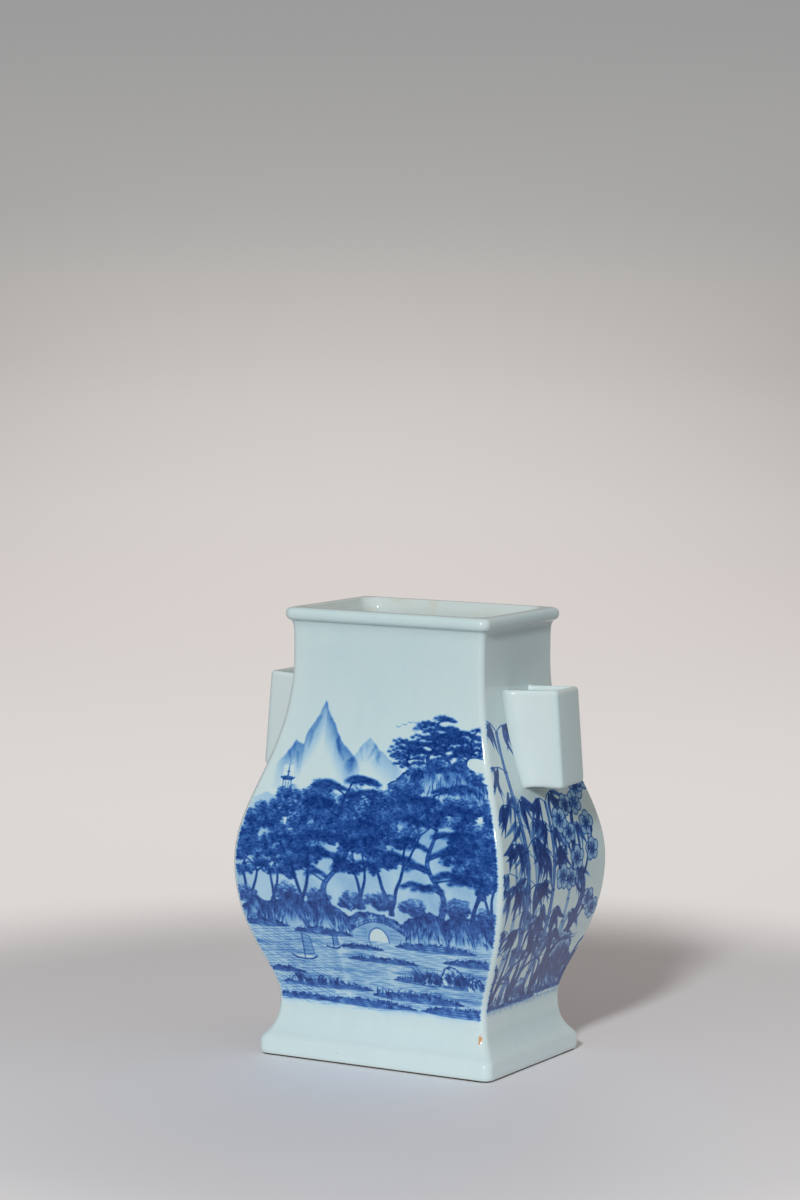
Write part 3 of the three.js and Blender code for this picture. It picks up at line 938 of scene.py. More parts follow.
# Each landscape is laid out as what is in it and where: x and z in mm, then sizes
FRONT_VIEW = dict(
    peaks=[([(-77, 196), (-70, 204), (-64, 213), (-58, 210), (-50, 228), (-44, 240), (-39, 229),
             (-31, 217), (-22, 208), (-12, 196)], 0.46, 16), ([(-26, 199), (-16, 208), (-8, 218),
             (-1, 211), (8, 205), (20, 198)], 0.3, 12), ([(-97, 168), (-80, 178), (-62, 172),
             (-30, 182), (-4, 176), (30, 186), (60, 178), (96, 170)], 0.26, 24)],
    ledges=[([(10, 189), (20, 197), (30, 199), (40, 206), (50, 203), (62, 207), (74, 199),
              (84, 192)], 180, 0.6, 120)],
    small_pines=[(24, 196, 22, 24), (38, 203, 30, 30), (52, 201, 26, 28), (66, 203, 24, 24)],
    bushes=[(30, 199, 14, 9), (46, 203, 16, 9), (60, 204, 12, 8), (74, 197, 12, 8)],
    tower=(-66, 150, 5, 15, 48),
    woods=[(-88, 104, 58, 34), (-70, 108, 50, 34), (-48, 108, 74, 42), (-4, 108, 66, 40),
           (20, 106, 86, 46), (80, 104, 82, 44), (94, 104, 60, 34)],
    pines=[(-26, 104, 92, 56, 0.1), (56, 104, 88, 56, -0.12)],
    low_bushes=[(-92, 110, 18, 12), (-60, 114, 20, 12), (-36, 112, 18, 12), (-10, 112, 20, 12),
                (12, 114, 22, 12), (36, 112, 20, 12), (68, 114, 22, 14), (90, 110, 16, 12)],
    hills=[([(-98, 100), (-84, 110), (-70, 106), (-58, 114), (-46, 108), (-32, 112), (-18, 104),
             (-8, 97)], 90, 0.75, 260), ([(22, 95), (34, 104), (48, 110), (60, 104), (72, 112),
             (86, 107), (98, 100)], 88, 0.75, 240), ([(-14, 100), (0, 105), (14, 104),
             (28, 99)], 96, 0.6, 60)],
    bridge=(8, 86, 40, 14), boats=[(-52, 68, 16, 1), (-28, 78, 9, 1)],
    banks=[(-80, 90, 20, 4), (-34, 88, 22, 3.5), (50, 84, 30, 5), (-6, 80, 16, 2.5), (80, 76, 26, 4),
           (8, 72, 26, 3), (54, 60, 40, 6), (-74, 58, 20, 3), (-38, 50, 34, 4.5), (30, 47, 34, 5),
           (66, 40, 34, 5), (-10, 40, 38, 4), (-62, 40, 22, 3)],
    rocks=[(60, 60, 22, 15), (76, 58, 15, 11), (42, 59, 12, 8), (-60, 51, 12, 6)],
    grasses=[(52, 60, 26, 13, 60), (20, 48, 22, 7, 30), (-46, 51, 16, 8, 24)],
    geese=(12, 230, 5), hatching=-18)

BACK_VIEW = dict(
    peaks=[([(20, 197), (28, 206), (36, 222), (42, 217), (52, 236), (58, 243), (64, 228), (74, 212),
             (84, 198)], 0.46, 16), ([(-30, 200), (-18, 210), (-8, 222), (0, 214), (10, 207),
             (22, 199)], 0.3, 12), ([(-96, 172), (-70, 182), (-44, 176), (-10, 186), (16, 178),
             (48, 188), (74, 180), (96, 170)], 0.26, 24)],
    ledges=[([(-84, 190), (-76, 200), (-64, 208), (-54, 204), (-42, 206), (-30, 199),
              (-18, 190)], 180, 0.6, 110)],
    small_pines=[(-72, 202, 26, 26), (-57, 205, 32, 32), (-42, 204, 24, 26)],
    bushes=[(-64, 205, 14, 9), (-48, 205, 15, 9), (-32, 199, 12, 8)],
    tower=(70, 146, 6, 16, 56),
    woods=[(-92, 104, 70, 38), (-74, 106, 84, 44), (-22, 104, 60, 38), (0, 110, 50, 36),
           (22, 108, 78, 44), (46, 106, 60, 38), (90, 104, 58, 32)],
    pines=[(-44, 104, 92, 58, 0.12), (34, 106, 70, 50, -0.1), (82, 104, 76, 44, -0.1)],
    low_bushes=[(-84, 110, 20, 12), (-58, 112, 20, 12), (-34, 112, 18, 12), (-8, 116, 20, 12),
                (12, 116, 20, 12), (40, 112, 18, 12), (62, 114, 20, 12), (84, 110, 18, 12)],
    hills=[([(-98, 100), (-86, 108), (-72, 114), (-60, 106), (-46, 110), (-34, 103),
             (-26, 97)], 89, 0.75, 230), ([(-12, 96), (2, 106), (16, 114), (30, 108), (46, 112),
             (62, 105), (78, 110), (98, 100)], 89, 0.75, 280)],
    bridge=(-18, 86, 34, 13), boats=[(44, 70, 15, -1), (68, 80, 9, -1), (-64, 78, 10, 1)],
    banks=[(76, 90, 20, 4), (20, 88, 26, 4), (-60, 86, 28, 4), (6, 78, 18, 2.5), (-14, 68, 24, 3),
           (-58, 60, 36, 6), (60, 60, 24, 4), (44, 50, 36, 5), (-20, 48, 28, 4), (-66, 42, 30, 5),
           (12, 39, 40, 4), (66, 40, 24, 3)],
    rocks=[(-64, 62, 20, 14), (-48, 61, 14, 10), (-78, 60, 12, 8), (58, 53, 14, 8)],
    grasses=[(-56, 62, 24, 13, 56), (44, 53, 24, 8, 34), (-18, 47, 18, 7, 24)],
    geese=(-12, 232, 4), hatching=24)


def mist_and_water(picture):
    """Pale washes behind the woods and all over the water, darker in level drifts."""
    half = picture.half
    for low, high, strength in ((98, 168, 0.22), (36, 96, 0.18)):
        low, high = picture.v(low), picture.v(high)
        xs = np.linspace(-half, half, 25)
        top = high + 3 * np.sin(xs / 13) + 2 * np.sin(xs / 5)
        picture.wash([*zip(xs, top), (half, low), (-half, low)], strength, soft=2.5, patch=26, patchy=0.4)
    for _ in range(26):
        x, v = picture.random.uniform(-half, half), picture.random.uniform(picture.v(38), picture.v(92))
        reach = picture.random.uniform(10, 32)
        drift = curve([(x - reach, v - 0.6), (x, v + 0.6), (x + reach, v)], 4)
        picture.line(drift, np.sin(np.linspace(0.1, 3.0, len(drift))) * 3, 0.22, soft=1.0)


def river_view(face, seed, view):
    """Peaks in mist, woods and old pines over rocks, a tower, a bridge and sails on a river."""
    picture = Picture(face, seed)
    for peak in view["peaks"]:
        far_peak(picture, *peak)
    geese(picture, *view["geese"])
    for ledge in view["ledges"]:
        crag(picture, *ledge)
    for x, z, tall, wide in view["small_pines"]:
        pine(picture, x, z, tall, wide, 0.1 if x % 4 else -0.12)
    for x, z, wide, tall in view["bushes"]:
        clump(picture, x, picture.v(z), wide, tall)
    mist_and_water(picture)
    pagoda(picture, *view["tower"])
    for tree in view["woods"]:
        leafy_tree(picture, *tree, picture.random.uniform(-0.08, 0.12))
    for tree in view["pines"]:
        pine(picture, *tree)
    for x, z, wide, tall in view["low_bushes"]:
        clump(picture, x, picture.v(z), wide, tall)
    middle = view["hatching"]
    hatched_water(picture, *((-101, middle) if middle < 0 else (middle, 101)), 36, 92)
    ripples(picture, *((middle - 6, 101) if middle < 0 else (-101, middle + 6)), 36, 92, 0.55)
    for hill in view["hills"]:
        crag(picture, *hill)
    arched_bridge(picture, *view["bridge"])
    for paint, key in ((sail_boat, "boats"), (bank, "banks"), (boulder, "rocks"), (grass, "grasses")):
        for thing in view[key]:
            paint(picture, *thing)
    soften_edges(picture)
    return picture


def bamboo(picture, x, z, tall, lean, width, strength):
    """A bamboo: a jointed cane, thin twigs at its joints and hanging bunches of leaves."""
    random = picture.random
    joints = 7
    joint = tall / joints
    bend = random.uniform(-0.06, 0.06)
    low = np.array([x, picture.v(z)])
    for step in range(joints):
        high = low + (lean * joint + bend * (2 * step + 1), joint)
        size = width * (1 - 0.09 * step)
        end = high - (0, 1.2)
        beside = (size / 2, 0)
        picture.clear([low - beside, low + beside, end + beside, end - beside], 0.3, 0.2)
        widths = [size * 1.05, size * 0.85, size * 1.05]
        picture.line([low, (low + end) / 2, end], widths, strength * 0.6, soft=0.4)
        for side, share in ((-1, 1.0), (1, 0.7)):
            edge = (side * size / 2, 0)
            picture.line([low + edge, end + edge], 0.7, strength * share)
        picture.line([end + (-size * 0.65, 0.6), end + (size * 0.65, 0.6)], 0.9, strength)
        low = high
        if step < 1:
            continue
        for side in (-1, 1):
            if random.uniform() < 0.22:
                continue
            reach = random.uniform(8, 17)
            tip = high + (side * reach, random.uniform(2, 9))
            picture.line(curve([high, (high + tip) / 2 + (0, 1.5), tip], 3), 0.8, strength)
            for spot in (tip, (high + 2 * tip) / 3):
                for _ in range(random.integers(3, 5)):
                    angle = -math.pi / 2 + side * random.uniform(-0.3, 1.35)
                    leaf(picture, spot, angle, random.uniform(15, 26), random.uniform(3.0, 4.6), strength)


def leaf(picture, spot, angle, length, width, strength):
    """A long leaf in one press and lift of the brush, with its rib left a shade darker."""
    random = picture.random
    way = np.array([math.cos(angle), math.sin(angle)])
    bend = np.array([-way[1], way[0]]) * random.uniform(-0.12, 0.12) * length
    points = curve([spot, spot + way * length * 0.4 + bend, spot + way * length], 5)
    share = np.linspace(0, 1, len(points))
    widths = width * np.sin(math.pi * (0.05 + 0.95 * share) ** 0.75) + 0.15
    picture.line(points, widths, strength * random.uniform(0.7, 0.95))
    picture.line(points[:-2], 0.4, strength * 0.7)


def blossom(picture, x, v, size, strength=0.85):
    """A flower of five round petals, outlined over a shaded wash, with its stamens."""
    random = picture.random
    turn = random.uniform(0, 2 * math.pi)
    rounds = np.linspace(0, 2 * math.pi, 17)
    centre = np.array([x, v])
    for petal in range(5):
        angle = turn + petal * 2 * math.pi / 5
        way = np.array([math.cos(angle), math.sin(angle) * 0.85])
        ring = np.stack([np.cos(rounds), np.sin(rounds) * 0.92], 1)
        ring = centre + size * 0.31 * way + size * 0.24 * ring
        picture.clear(ring, 0.3)
        picture.wash(ring, 0.3, soft=0.3)
        picture.line(ring, 0.75, strength)
        for side in (-0.3, 0.0, 0.3):
            vein = np.array([math.cos(angle + side), math.sin(angle + side) * 0.85])
            vein = [centre + vein * size * 0.12, centre + vein * size * 0.34]
            picture.line(vein, [1.6, 0.3], 0.4, soft=0.4)
    for angle in turn + np.arange(11) * 2 * math.pi / 11:
        tip = centre + size * 0.24 * np.array([math.cos(angle), math.sin(angle)])
        picture.line([centre, tip], 0.4, strength)
        picture.line([tip, tip + (0.1, 0)], 1.0, strength)


def ground(picture, z, half):
    """The ground below a plant: broken level strokes, moss dots and a fringe of short grass."""
    random = picture.random
    for x in np.linspace(-half, half, 7):
        bank(picture, x, z + random.uniform(-2, 2), half / 4.5, 2.6, 0.6, 22)
    grass(picture, 0, z + 1, half, 8, int(half * 1.6))
    v = picture.v(z) - 3
    for x in np.linspace(-half, half, int(half * 1.3)):
        tip = (x + random.uniform(-0.8, 0.8), v - random.uniform(1.5, 3.5))
        picture.line([(x, v), tip], [0.7, 0.2], random.uniform(0.4, 0.75))


def garden_view(face, seed, way):
    """Bamboo and a flowering branch by a garden rock, over grass."""
    picture = Picture(face, seed)
    random = picture.random
    canes = ((-56, 56, 96, 0.03, 4.2, 0.55), (-20, 52, 132, -0.08, 4.6, 0.55),
             (14, 52, 108, 0.1, 4.2, 0.55), (-38, 47, 186, 0.0, 5.6, 0.9), (-8, 47, 134, 0.06, 5.2, 0.9))
    for x, z, tall, lean, width, strength in canes:
        bamboo(picture, way * x, z, tall, way * lean, width, strength)
    trunk = curve([(way * 40, picture.v(56)), (way * 30, picture.v(84)), (way * 42, picture.v(112)),
                   (way * 28, picture.v(142)), (way * 34, picture.v(170))], 6)
    widths = np.linspace(9, 3, len(trunk))
    picture.line(trunk, widths, 0.75, soft=0.6)
    bark_edges(picture, trunk, widths, 1.0, 0.9)
    bark_marks(picture, trunk[1:-1], widths[1:-1], 0.7, 0.85, 0.4, 0.8)
    tips = [trunk[-1]]
    limbs = ((0.3, 0.35, 30), (0.5, 2.5, 26), (0.62, 0.6, 34), (0.8, 2.3, 24), (1.0, 1.2, 26))
    for share, angle, length in limbs:
        start = trunk[int(share * (len(trunk) - 1))]
        turned = angle if way > 0 else math.pi - angle
        limb(picture, start, turned, length * 0.6, 3.2, 1, tips, 0.4)
    placed = []
    for tip in tips:
        for _ in range(2):
            spot = tip + random.uniform(-7, 7, 2)
            if all(np.hypot(*(spot - other)) > 10 for other in placed):
                placed.append(spot)
                blossom(picture, *spot, random.uniform(15, 19))
        picture.line([tip, tip + (0.5, 2)], 2.6, 0.85)
    for x, z, wide, tall in ((30, 47, 56, 44), (56, 46, 30, 24), (-14, 46, 26, 16)):
        boulder(picture, way * x, z, wide, tall, 0.7)
    for base, count in ((-52, 8), (-26, 5), (6, 9), (48, 6)):
        for _ in range(count):
            lean, high = random.uniform(-1.1, 1.1), random.uniform(24, 58)
            start = np.array([way * base + random.uniform(-3, 3), picture.v(46)])
            points = [start, start + (lean * high * 0.3, high * 0.65),
                      start + (lean * high, high * random.uniform(0.6, 0.95))]
            picture.stroke(points, random.uniform(2.6, 4.2), random.uniform(0.65, 0.92), 6)
    ground(picture, 46, 66)
    soften_edges(picture)
    return picture


front = river_view("front", 11, FRONT_VIEW)
back = river_view("back", 12, BACK_VIEW)
right = garden_view("right", 13, 1)
left = garden_view("left", 14, -1)

# Thin skins of close points over the flat of each wall, one value of ink a point
SKIN_LIFT = 0.08
SKIN_STEP = 0.5


def skin(picture, name, low_share, high_share):
    """A skin over part of a painted wall, from one share of its width to another."""
    columns = int(2 * picture.half * (high_share - low_share) / SKIN_STEP)
    rows = int(picture.run[-1] / SKIN_STEP)
    bm = bmesh.new()
    bmesh.ops.create_grid(bm, x_segments=columns, y_segments=rows, size=1)
    flat = np.array([vert.co[:2] for vert in bm.verts])
    share = low_share + (flat[:, 0] + 1) / 2 * (high_share - low_share)
    v = (flat[:, 1] + 1) / 2 * picture.run[-1]
    z = np.interp(v, picture.run, picture.heights)
    half_x, half_y, radius = outer(z)
    across, out = (half_x, half_y) if picture.wide else (half_y, half_x)
    x = (2 * share - 1) * (across - radius + ROUND_CORNER)
    angle = np.maximum(np.abs(x) - across + radius, 0) / radius
    out = out - radius * (1 - np.cos(angle))
    spread = np.where(angle > 0, np.sign(x) * (across - radius + radius * np.sin(angle)), x)
    along, away = {"front": (1, -1), "back": (-1, 1), "right": (1, 1), "left": (-1, -1)}[picture.face]
    if picture.wide:
        lift = hand_wave(along * spread, away * out, z) + SKIN_LIFT
    else:
        lift = hand_wave(away * out, along * spread, z) + SKIN_LIFT
    out = out + lift * np.cos(angle)
    spread = spread + lift * np.sin(angle) * np.sign(x)
    place = [along * spread, away * out, z] if picture.wide else [away * out, along * spread, z]
    place = np.stack(place, axis=1)
    for vert, spot in zip(bm.verts, place):
        vert.co = spot
    column = np.clip((x + picture.half) / INK_STEP, 0, picture.ink.shape[1] - 1.001)
    row = np.clip(v / INK_STEP, 0, picture.ink.shape[0] - 1.001)
    c, r = column.astype(int), row.astype(int)
    over, up = column - c, row - r
    ink = picture.ink
    low_ink = ink[r, c] * (1 - over) + ink[r, c + 1] * over
    high_ink = ink[r + 1, c] * (1 - over) + ink[r + 1, c + 1] * over
    piece = finish_mesh(name, bm)
    give(piece, "cobalt", low_ink * (1 - up) + high_ink * up)
    # The same painted light towards the upright arrises as on the body
    give(piece, "thin_glaze_and_arris_light", arris_thin_and_light(*place.T))
    return piece


skins = []
for picture in (front, back, right, left):
    for part in range(2):
        skins.append(skin(picture, f"{picture.face}_painted_skin_{part + 1}", part / 2, (part + 1) / 2))


# Materials
def places(piece):
    """The vertices of a piece, in mm."""
    flat = np.empty(3 * len(piece.data.vertices), dtype=np.float32)
    piece.data.vertices.foreach_get("co", flat)
    return (flat.reshape(-1, 3) / MM).T


# Where the glaze ran thin off an edge, where painted light lightens the body towards its upright
# arrises, and where the inside shows its yellower skin. Each clip is a ramp from 0 to 1 over so many mm.
x, y, z = places(body)
half_x, half_y, radius = outer(z)
inward = np.minimum(half_x - np.abs(x), half_y - np.abs(y))
inner = np.clip((inward - 0.5) / 2, 0, 1) * (z > BASE_TOP - 1)
give(body, "inner_skin", inner)
rim_roll = np.clip((z - WALL_TOP) / 1.5, 0, 1) * (1 - 0.6 * inner)
foot_lip = np.clip((2.6 - z) / 1.8, 0, 1) + 0.3 * np.clip((FOOT_TOP + 6 - z) / 6, 0, 1)
give(body, "thin_glaze_and_arris_light", np.maximum(0.12 * rim_roll + foot_lip, arris_thin_and_light(x, y, z) * (1 - inner)))
for piece in (right_lug, left_lug):
    x, y, z = places(piece)
    from_wall = np.abs(x) - outer(z)[0]
    to_outer, to_side = lug_outer_x(z) - np.abs(x), LUG_HALF - np.abs(y)
    to_end = np.minimum(z - LUG_BOTTOM, LUG_TOP - z)
    to_arris = np.sort([to_outer, to_side, to_end], axis=0)[1]
    arris = (1 - to_arris / 1.5) * np.clip((from_wall - 5) / 4, 0, 1)
    flat = 0.79 * np.clip((to_outer - 1) / 3, 0, 1) * np.clip((from_wall + 1) / 7, 0, 1)
    give(piece, "thin_glaze_and_arris_light", np.maximum(flat, arris))


# One flaw where the glaze crawled, on the front of the cove by the corner
FLAW_Z = 26
flaw_x, flaw_y, flaw_radius = outer(FLAW_Z)
flaw_turn = math.radians(18)
FLAW = (MM * (flaw_x - flaw_radius * (1 - math.sin(flaw_turn))),
        -MM * (flaw_y - flaw_radius * (1 - math.cos(flaw_turn))), MM * FLAW_Z)

# Cobalt from a thin wash to full strength, as it tints the glaze
COBALT = ((0, "#FFFFFF"), (0.15, "#D6E9FF"), (0.3, "#AACBF2"), (0.42, "#8CB6E6"), (0.55, "#6D9CDF"),
          (0.68, "#4E7CC8"), (0.82, "#355EAE"), (0.92, "#244B96"), (1, "#0D3683"))

# The glaze's noises: waves a metre and detail. A tenth of a metre over the waves is about the
# size of a patch: drifts of thicker glaze are 60 to 120 mm across, and the peel is about 1 mm.
NOISES = {"drifts": (11, 2), "mottle": (120, 2), "stains": (45, 4), "patches": (55, 3),
          "flecks": (260, 3), "crawl": (700, 2), "ripple": (65, 1), "peel": (900, 1), "sheen": (300, 2)}


def porcelain_material(name, painted):
    """Glazed porcelain, dipped and fired glossy: pale blue-green from traces of iron, greyer and
    warmer where it ran thin over an edge, and lighter towards the upright arrises as painted light. Cobalt
    lies under the glaze where it is painted."""
    material = bpy.data.materials.new(name)
    tree = empty_tree(material)
    place = node(tree, "TexCoord").outputs["Object"]
    noise = {}
    for key, (scale, detail) in NOISES.items():
        noise[key] = node(tree, "TexNoise", {"Vector": place, "Scale": scale, "Detail": detail})
    # The thin glaze attribute also holds painted light: lighter towards the body's upright arrises
    thin = node(tree, "Attribute", attribute_name="thin_glaze_and_arris_light").outputs["Fac"]
    inner_skin = node(tree, "Attribute", attribute_name="inner_skin").outputs["Fac"]

    # Map Range takes a value, its low and high, and what they become
    mottle = node(tree, "MapRange", (noise["mottle"], 0.3, 0.7, 0, 0.35))
    upright = node(tree, "VectorMath", (place, (130, 130, 9)), operation="MULTIPLY")
    runs = node(tree, "TexNoise", {"Vector": upright, "Scale": 1.0, "Detail": 1.0})
    runs = node(tree, "MapRange", (runs, 0.4, 0.65, 0, 0.13))
    stains = node(tree, "MapRange", (noise["stains"], 0.52, 0.72, 0, 0.45))
    stains = node(tree, "Math", (inner_skin, stains), operation="MULTIPLY")
    # Lighter where the glaze is thin, and lighter near the upright arrises as painted light
    thinness_and_arris_light = node(tree, "MapRange", (thin, 0, 0.9))
    # Iron shows brown through the thinnest glaze, with flecks of about 2 mm
    patches = node(tree, "MapRange", (noise["patches"], 0.45, 0.62, 0.05, 0.5))
    thinnest = node(tree, "MapRange", (thin, 0.8, 1.0))
    iron = node(tree, "Math", (thinnest, patches), operation="MULTIPLY")
    flecks = node(tree, "MapRange", (noise["flecks"], 0.55, 0.7, 0, 1.1))
    flecks = node(tree, "Math", (iron, flecks), operation="MULTIPLY")
    # A few dark iron specks, about 0.5 mm across
    cells = node(tree, "TexVoronoi", {"Vector": place, "Scale": 42.0})
    chance = node(tree, "SeparateColor", {"Color": cells.outputs["Color"]})
    chosen = node(tree, "MapRange", (chance, 0.86, 0.87))
    specks = node(tree, "MapRange", (cells.outputs["Distance"], 0.022, 0.012, 0, 0.7))
    specks = node(tree, "Math", (chosen, specks), operation="MULTIPLY")
    # The flaw's ragged patch, taller than wide
    apart = node(tree, "VectorMath", (place, FLAW), operation="SUBTRACT")
    apart = node(tree, "VectorMath", (apart, (640, 200, 270)), operation="MULTIPLY")
    apart = node(tree, "VectorMath", (apart,), operation="LENGTH")
    ragged = node(tree, "MapRange", (noise["crawl"], 0.3, 0.7, -0.4, 0.4))
    flaw = node(tree, "Math", (apart, ragged), operation="ADD")
    flaw = node(tree, "MapRange", (flaw, 1.0, 0.5, 0, 0.85))

    drifts = node(tree, "MapRange", (noise["drifts"], 0.35, 0.65))
    colour = linear("#C3DADD")
    layers = ((drifts, "#CBDFE0"), (mottle, "#CEE0E0"), (runs, "#BCD0D2"), (inner_skin, "#CEDAD8"),
              (stains, "#CBC1A2"), (thinness_and_arris_light, "#D6E2E1"), (iron, "#BDB39A"), (flecks, "#9C7F5C"),
              (specks, "#6B5440"), (flaw, "#D08A3C"))
    for share, tint in layers:
        colour = node(tree, "Mix", {0: share, 6: colour, 7: linear(tint)}, data_type="RGBA")
    if painted:
        ramp = node(tree, "ValToRGB", (node(tree, "Attribute", attribute_name="cobalt").outputs["Fac"],))
        stops = ramp.color_ramp.elements
        stops[0].color, stops[1].color = linear(COBALT[0][1]), linear(COBALT[-1][1])
        for strength, tint in COBALT[1:-1]:
            stops.new(strength).color = linear(tint)
        colour = node(tree, "Mix", {0: 1.0, 6: colour, 7: ramp}, data_type="RGBA", blend_type="MULTIPLY")
    # The glaze's skin: slow ripples, and a faint orange peel
    ripple = node(tree, "Bump", {"Height": noise["ripple"], "Strength": 0.12, "Distance": 0.001})
    peel = {"Height": noise["peel"], "Strength": 0.05, "Distance": 0.0002, "Normal": ripple}
    peel = node(tree, "Bump", peel)
    roughness = node(tree, "MapRange", (noise["sheen"], 0.3, 0.7, 0.05, 0.1))
    glaze = {"Base Color": colour, "Roughness": roughness, "IOR": 1.5, "Normal": peel}
    node(tree, "OutputMaterial", {"Surface": node(tree, "BsdfPrincipled", glaze)})
    return material


def bare_paste_and_shadow_material():
    """Unglazed porcelain paste, burnt orange-brown at the edge of the glaze, dull. Its colour is darkened
    to near black as painted shadow, for the thin line of shade under the foot.
    """
    material = bpy.data.materials.new("bare porcelain paste and painted shadow")
    tree = empty_tree(material)
    paste = {"Base Color": linear("#3A2C1E"), "Roughness": 0.75}
    node(tree, "OutputMaterial", {"Surface": node(tree, "BsdfPrincipled", paste)})
    return material


plain = porcelain_material("clear glaze over white porcelain", False)
cobalt = porcelain_material("cobalt under clear glaze", True)
for piece in (body, right_lug, left_lug):
    piece.data.materials.append(plain)
for piece in skins:
    piece.data.materials.append(cobalt)
# The bare edge's near-black colour is partly painted shadow under the foot
foot_ring.data.materials.append(bare_paste_and_shadow_material())

# Which CAD pieces each part stands for
walls = ["front_wall", "back_wall", "left_wall", "right_wall"]
rims = [f"rim_{side}_strip" for side in ("front", "back", "left", "right")]
feet = [f"foot_{side}_strip" for side in ("front", "back", "left", "right")]
for piece in (body, foot_ring, right_lug, left_lug, *skins):
    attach(piece, "root")
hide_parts(*walls, *rims, "base_slab")
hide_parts(*feet)
for piece, lug in ((right_lug, "right_lug"), (left_lug, "left_lug")):
    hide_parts(f"{lug}_outer_slab", f"{lug}_front_slab", f"{lug}_back_slab")

# Camera, from the photograph's viewing angle
PHOTO_SIZE = (800, 1200)
FOCAL_PX = 3626
AZIMUTH, ELEVATION, DISTANCE, ROLL = 29.3, 8.84, 2.431, 0.50
VASE_MIDDLE = Vector((0, 0, 0.15))
MIDDLE_PX = (421.05, 830.07)


def photo_camera():
    """The camera looks at the vase's middle, then turns to put it where it is in the picture."""
    away = direction(AZIMUTH, ELEVATION)
    right_way = (-away).cross(Vector((0, 0, 1))).normalized()
    look = Matrix((right_way, (-away).cross(right_way), -away))
    aim = [(MIDDLE_PX[i] - PHOTO_SIZE[i] / 2) / FOCAL_PX for i in (0, 1)]
    aim = Vector((*aim, 1)).normalized()
    pan = Matrix.Rotation(math.atan2(aim.x, aim.z), 3, "Y")
    tilt = Matrix.Rotation(-math.asin(aim.y), 3, "X")
    rows = pan @ tilt @ Matrix.Rotation(math.radians(ROLL), 3, "Z") @ look
    data = bpy.data.cameras.new("photo_camera")
    data.sensor_width = 36
    data.lens = FOCAL_PX / PHOTO_SIZE[1] * data.sensor_width
    camera = bpy.data.objects.new("photo_camera", data)
    turn = Matrix((rows[0], -rows[1], -rows[2])).transposed()
    camera.matrix_world = Matrix.Translation(VASE_MIDDLE + away * DISTANCE) @ turn.to_4x4()
    bpy.context.scene.collection.objects.link(camera)
    bpy.context.scene.camera = camera


photo_camera()


# Stage: a pale floor that fades into a graded backdrop
def stage():
    bm = bmesh.new()
    bmesh.ops.create_circle(bm, cap_ends=True, segments=96, radius=900)
    floor = finish_mesh("studio_floor", bm)
    material = bpy.data.materials.new("studio floor")
    tree = empty_tree(material)
    place = node(tree, "TexCoord").outputs["Object"]
    far = node(tree, "VectorMath", (place,), operation="LENGTH")
    fade = node(tree, "MapRange", (far, 0.38, 0.66), interpolation_type="SMOOTHSTEP")
    # Painted light: the floor is lighter off to the right, as the lamp's light falls off across it
    across = node(tree, "VectorMath", (place, (0.87, 0.49, 0)), operation="DOT_PRODUCT")
    painted_light_rightward = node(tree, "MapRange", (across, -0.2, 0.25))
    painted_light_greys = {0: painted_light_rightward, 6: linear("#E3E5E9"), 7: linear("#ECEEF2")}
    colour = node(tree, "Mix", painted_light_greys, data_type="RGBA")
    # Painted shadow: it is a little darker just in front of the vase, where the vase's soft shadow falls
    to_front = node(tree, "VectorMath", (place, (0.1, -0.3, 0)), operation="DISTANCE")
    beside = node(tree, "MapRange", (to_front, 0.05, 0.3), interpolation_type="SMOOTHSTEP")
    colour = node(tree, "Mix", {0: beside, 6: linear("#DADCE0"), 7: colour}, data_type="RGBA")
    matt = node(tree, "BsdfPrincipled", {"Base Color": colour, "Roughness": 0.6})
    surface = node(tree, "MixShader", (fade, matt, node(tree, "BsdfTransparent")))
    node(tree, "OutputMaterial", {"Surface": surface})
    floor.data.materials.append(material)


stage()

# The backdrop's colours by height, from far below the horizon to far above it
BACKDROP = ((0, "#D9D5D4"), (0.14, "#DAD6D4"), (0.255, "#DCD8D5"), (0.39, "#D8D1CE"), (0.46, "#D6D0CC"),
            (0.53, "#CDC9C6"), (0.6, "#BEBAB7"), (0.667, "#ACABA9"), (0.736, "#A3A2A1"), (0.79, "#9D9D9D"),
            (1, "#929393"))
# How the glow far to the sides differs from the middle: each part runs between two heights of
# the direction of sight, from one gain to another
GLOW = ((-0.25, -0.17, 12, -1), (-0.1236, -0.0255, 0, -12), (-0.0255, 0.044, 0, 12))
GLOW_REACH = 0.0153
FILL = 0.31
BEHIND = 2.2
BOARD = 0.45


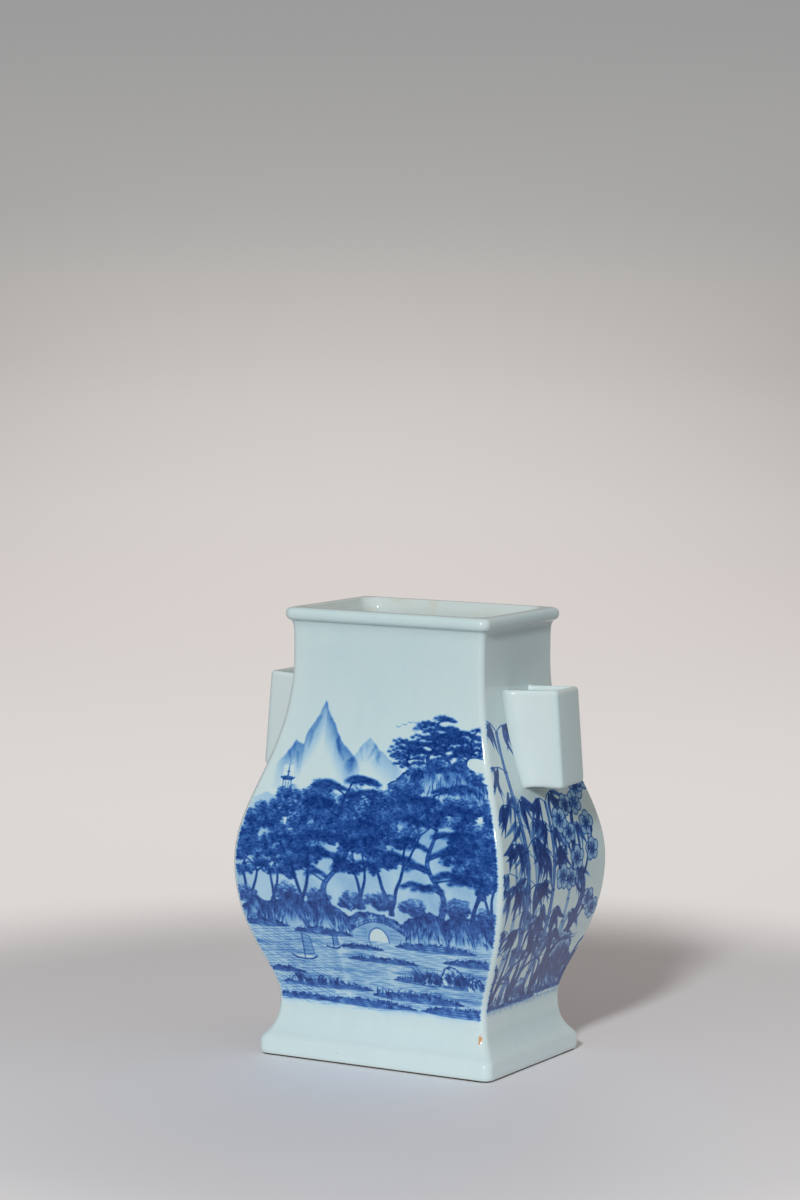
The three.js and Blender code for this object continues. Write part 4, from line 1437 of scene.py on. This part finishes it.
def world_light():
    """A backdrop graded by height for the rays that see it, and an even fill for the rest."""
    world = bpy.data.worlds.new("studio")
    bpy.context.scene.world = world
    tree = empty_tree(world)
    way = node(tree, "TexCoord").outputs["Generated"]
    along = node(tree, "SeparateXYZ", (way,)).outputs
    ramp = node(tree, "ValToRGB", (node(tree, "MapRange", (along["Z"], -0.25, 0.15)),))
    stops = ramp.color_ramp.elements
    stops[0].color, stops[1].color = linear(BACKDROP[0][1]), linear(BACKDROP[-1][1])
    for height, tint in BACKDROP[1:-1]:
        stops.new(height).color = linear(tint)
    # It glows most behind the vase
    seen = node(tree, "LightPath").outputs
    behind = node(tree, "VectorMath", (way, (-0.48, 0.87, 0.05)), operation="DOT_PRODUCT")
    lobe = node(tree, "MapRange", (behind, 0.45, 0.9, 0.16))
    bright = node(tree, "Math", (lobe, seen["Is Camera Ray"]), operation="MAXIMUM")
    # The glow falls away to the sides at mid height, and gathers there at the bottom
    sideways = node(tree, "VectorMath", (way, (0.872, 0.489, 0)), operation="DOT_PRODUCT")
    off = node(tree, "Math", (sideways, 0.019), operation="ADD")
    off = node(tree, "Math", (off, 2.0), operation="POWER")
    off = node(tree, "Math", (off, GLOW_REACH), operation="MINIMUM")
    gain = 0.0
    for part in GLOW:
        part = node(tree, "MapRange", (along["Z"], *part))
        gain = node(tree, "Math", (gain, part), operation="ADD")
    gain = node(tree, "Math", (gain, off, 1.0), operation="MULTIPLY_ADD")
    bright = node(tree, "Math", (bright, gain), operation="MULTIPLY")
    backdrop = node(tree, "Background", (ramp, bright))
    # The fill is warmer from behind, and dims below the horizon, overhead and to the left
    behind = node(tree, "MapRange", (along["Y"], 0.1, 0.95))
    warm = tuple(BEHIND * part for part in linear("#FFD9BA"))
    warmth = node(tree, "Mix", {0: behind, 6: linear("#FCFDFF"), 7: warm}, data_type="RGBA")
    strength = node(tree, "MapRange", (along["Z"], -0.2, 0.1, 0.12 * FILL, FILL))
    for dimming in ((along["Z"], 0.5, 1, 1, 0.94), (along["X"], -1, -0.2, 0.65, 1)):
        dimming = node(tree, "MapRange", dimming)
        strength = node(tree, "Math", (strength, dimming), operation="MULTIPLY")
    fill = node(tree, "Background", (warmth, strength))
    # A tall white board stands far off to the right and lifts the shaded side
    board = node(tree, "MapRange", (along["X"], 0.72, 0.95, 0, BOARD))
    upper = node(tree, "MapRange", (along["Z"], -0.03, 0.06))
    board = node(tree, "Math", (board, upper), operation="MULTIPLY")
    board = node(tree, "Background", (linear("#E4EFFF"), board))
    fill = node(tree, "AddShader", (fill, board))
    rays = seen["Is Camera Ray"]
    for kind in ("Is Glossy Ray", "Is Transmission Ray"):
        rays = node(tree, "Math", (rays, seen[kind]), operation="MAXIMUM")
    node(tree, "OutputWorld", {"Surface": node(tree, "MixShader", (rays, fill, backdrop))})


# One small lamp far off to the front and right, as the shadow on the ground shows
KEY_AZIMUTH, KEY_ELEVATION, KEY_DISTANCE, KEY_SIZE = 15.3, 28.6, 3.2, 0.38
KEY_WATTS = 67


def key_lamp():
    away = direction(KEY_AZIMUTH, KEY_ELEVATION)
    data = bpy.data.lights.new("key_lamp", "AREA")
    data.shape = "DISK"
    data.size = KEY_SIZE
    data.energy = KEY_WATTS
    data.color = linear("#FDFEFF")[:3]
    lamp = bpy.data.objects.new("key_lamp", data)
    lamp.location = VASE_MIDDLE + away * KEY_DISTANCE
    lamp.rotation_euler = (-away).to_track_quat("-Z", "Y").to_euler()
    bpy.context.scene.collection.objects.link(lamp)


world_light()
key_lamp()

bpy.context.scene.view_settings.view_transform = "Standard"
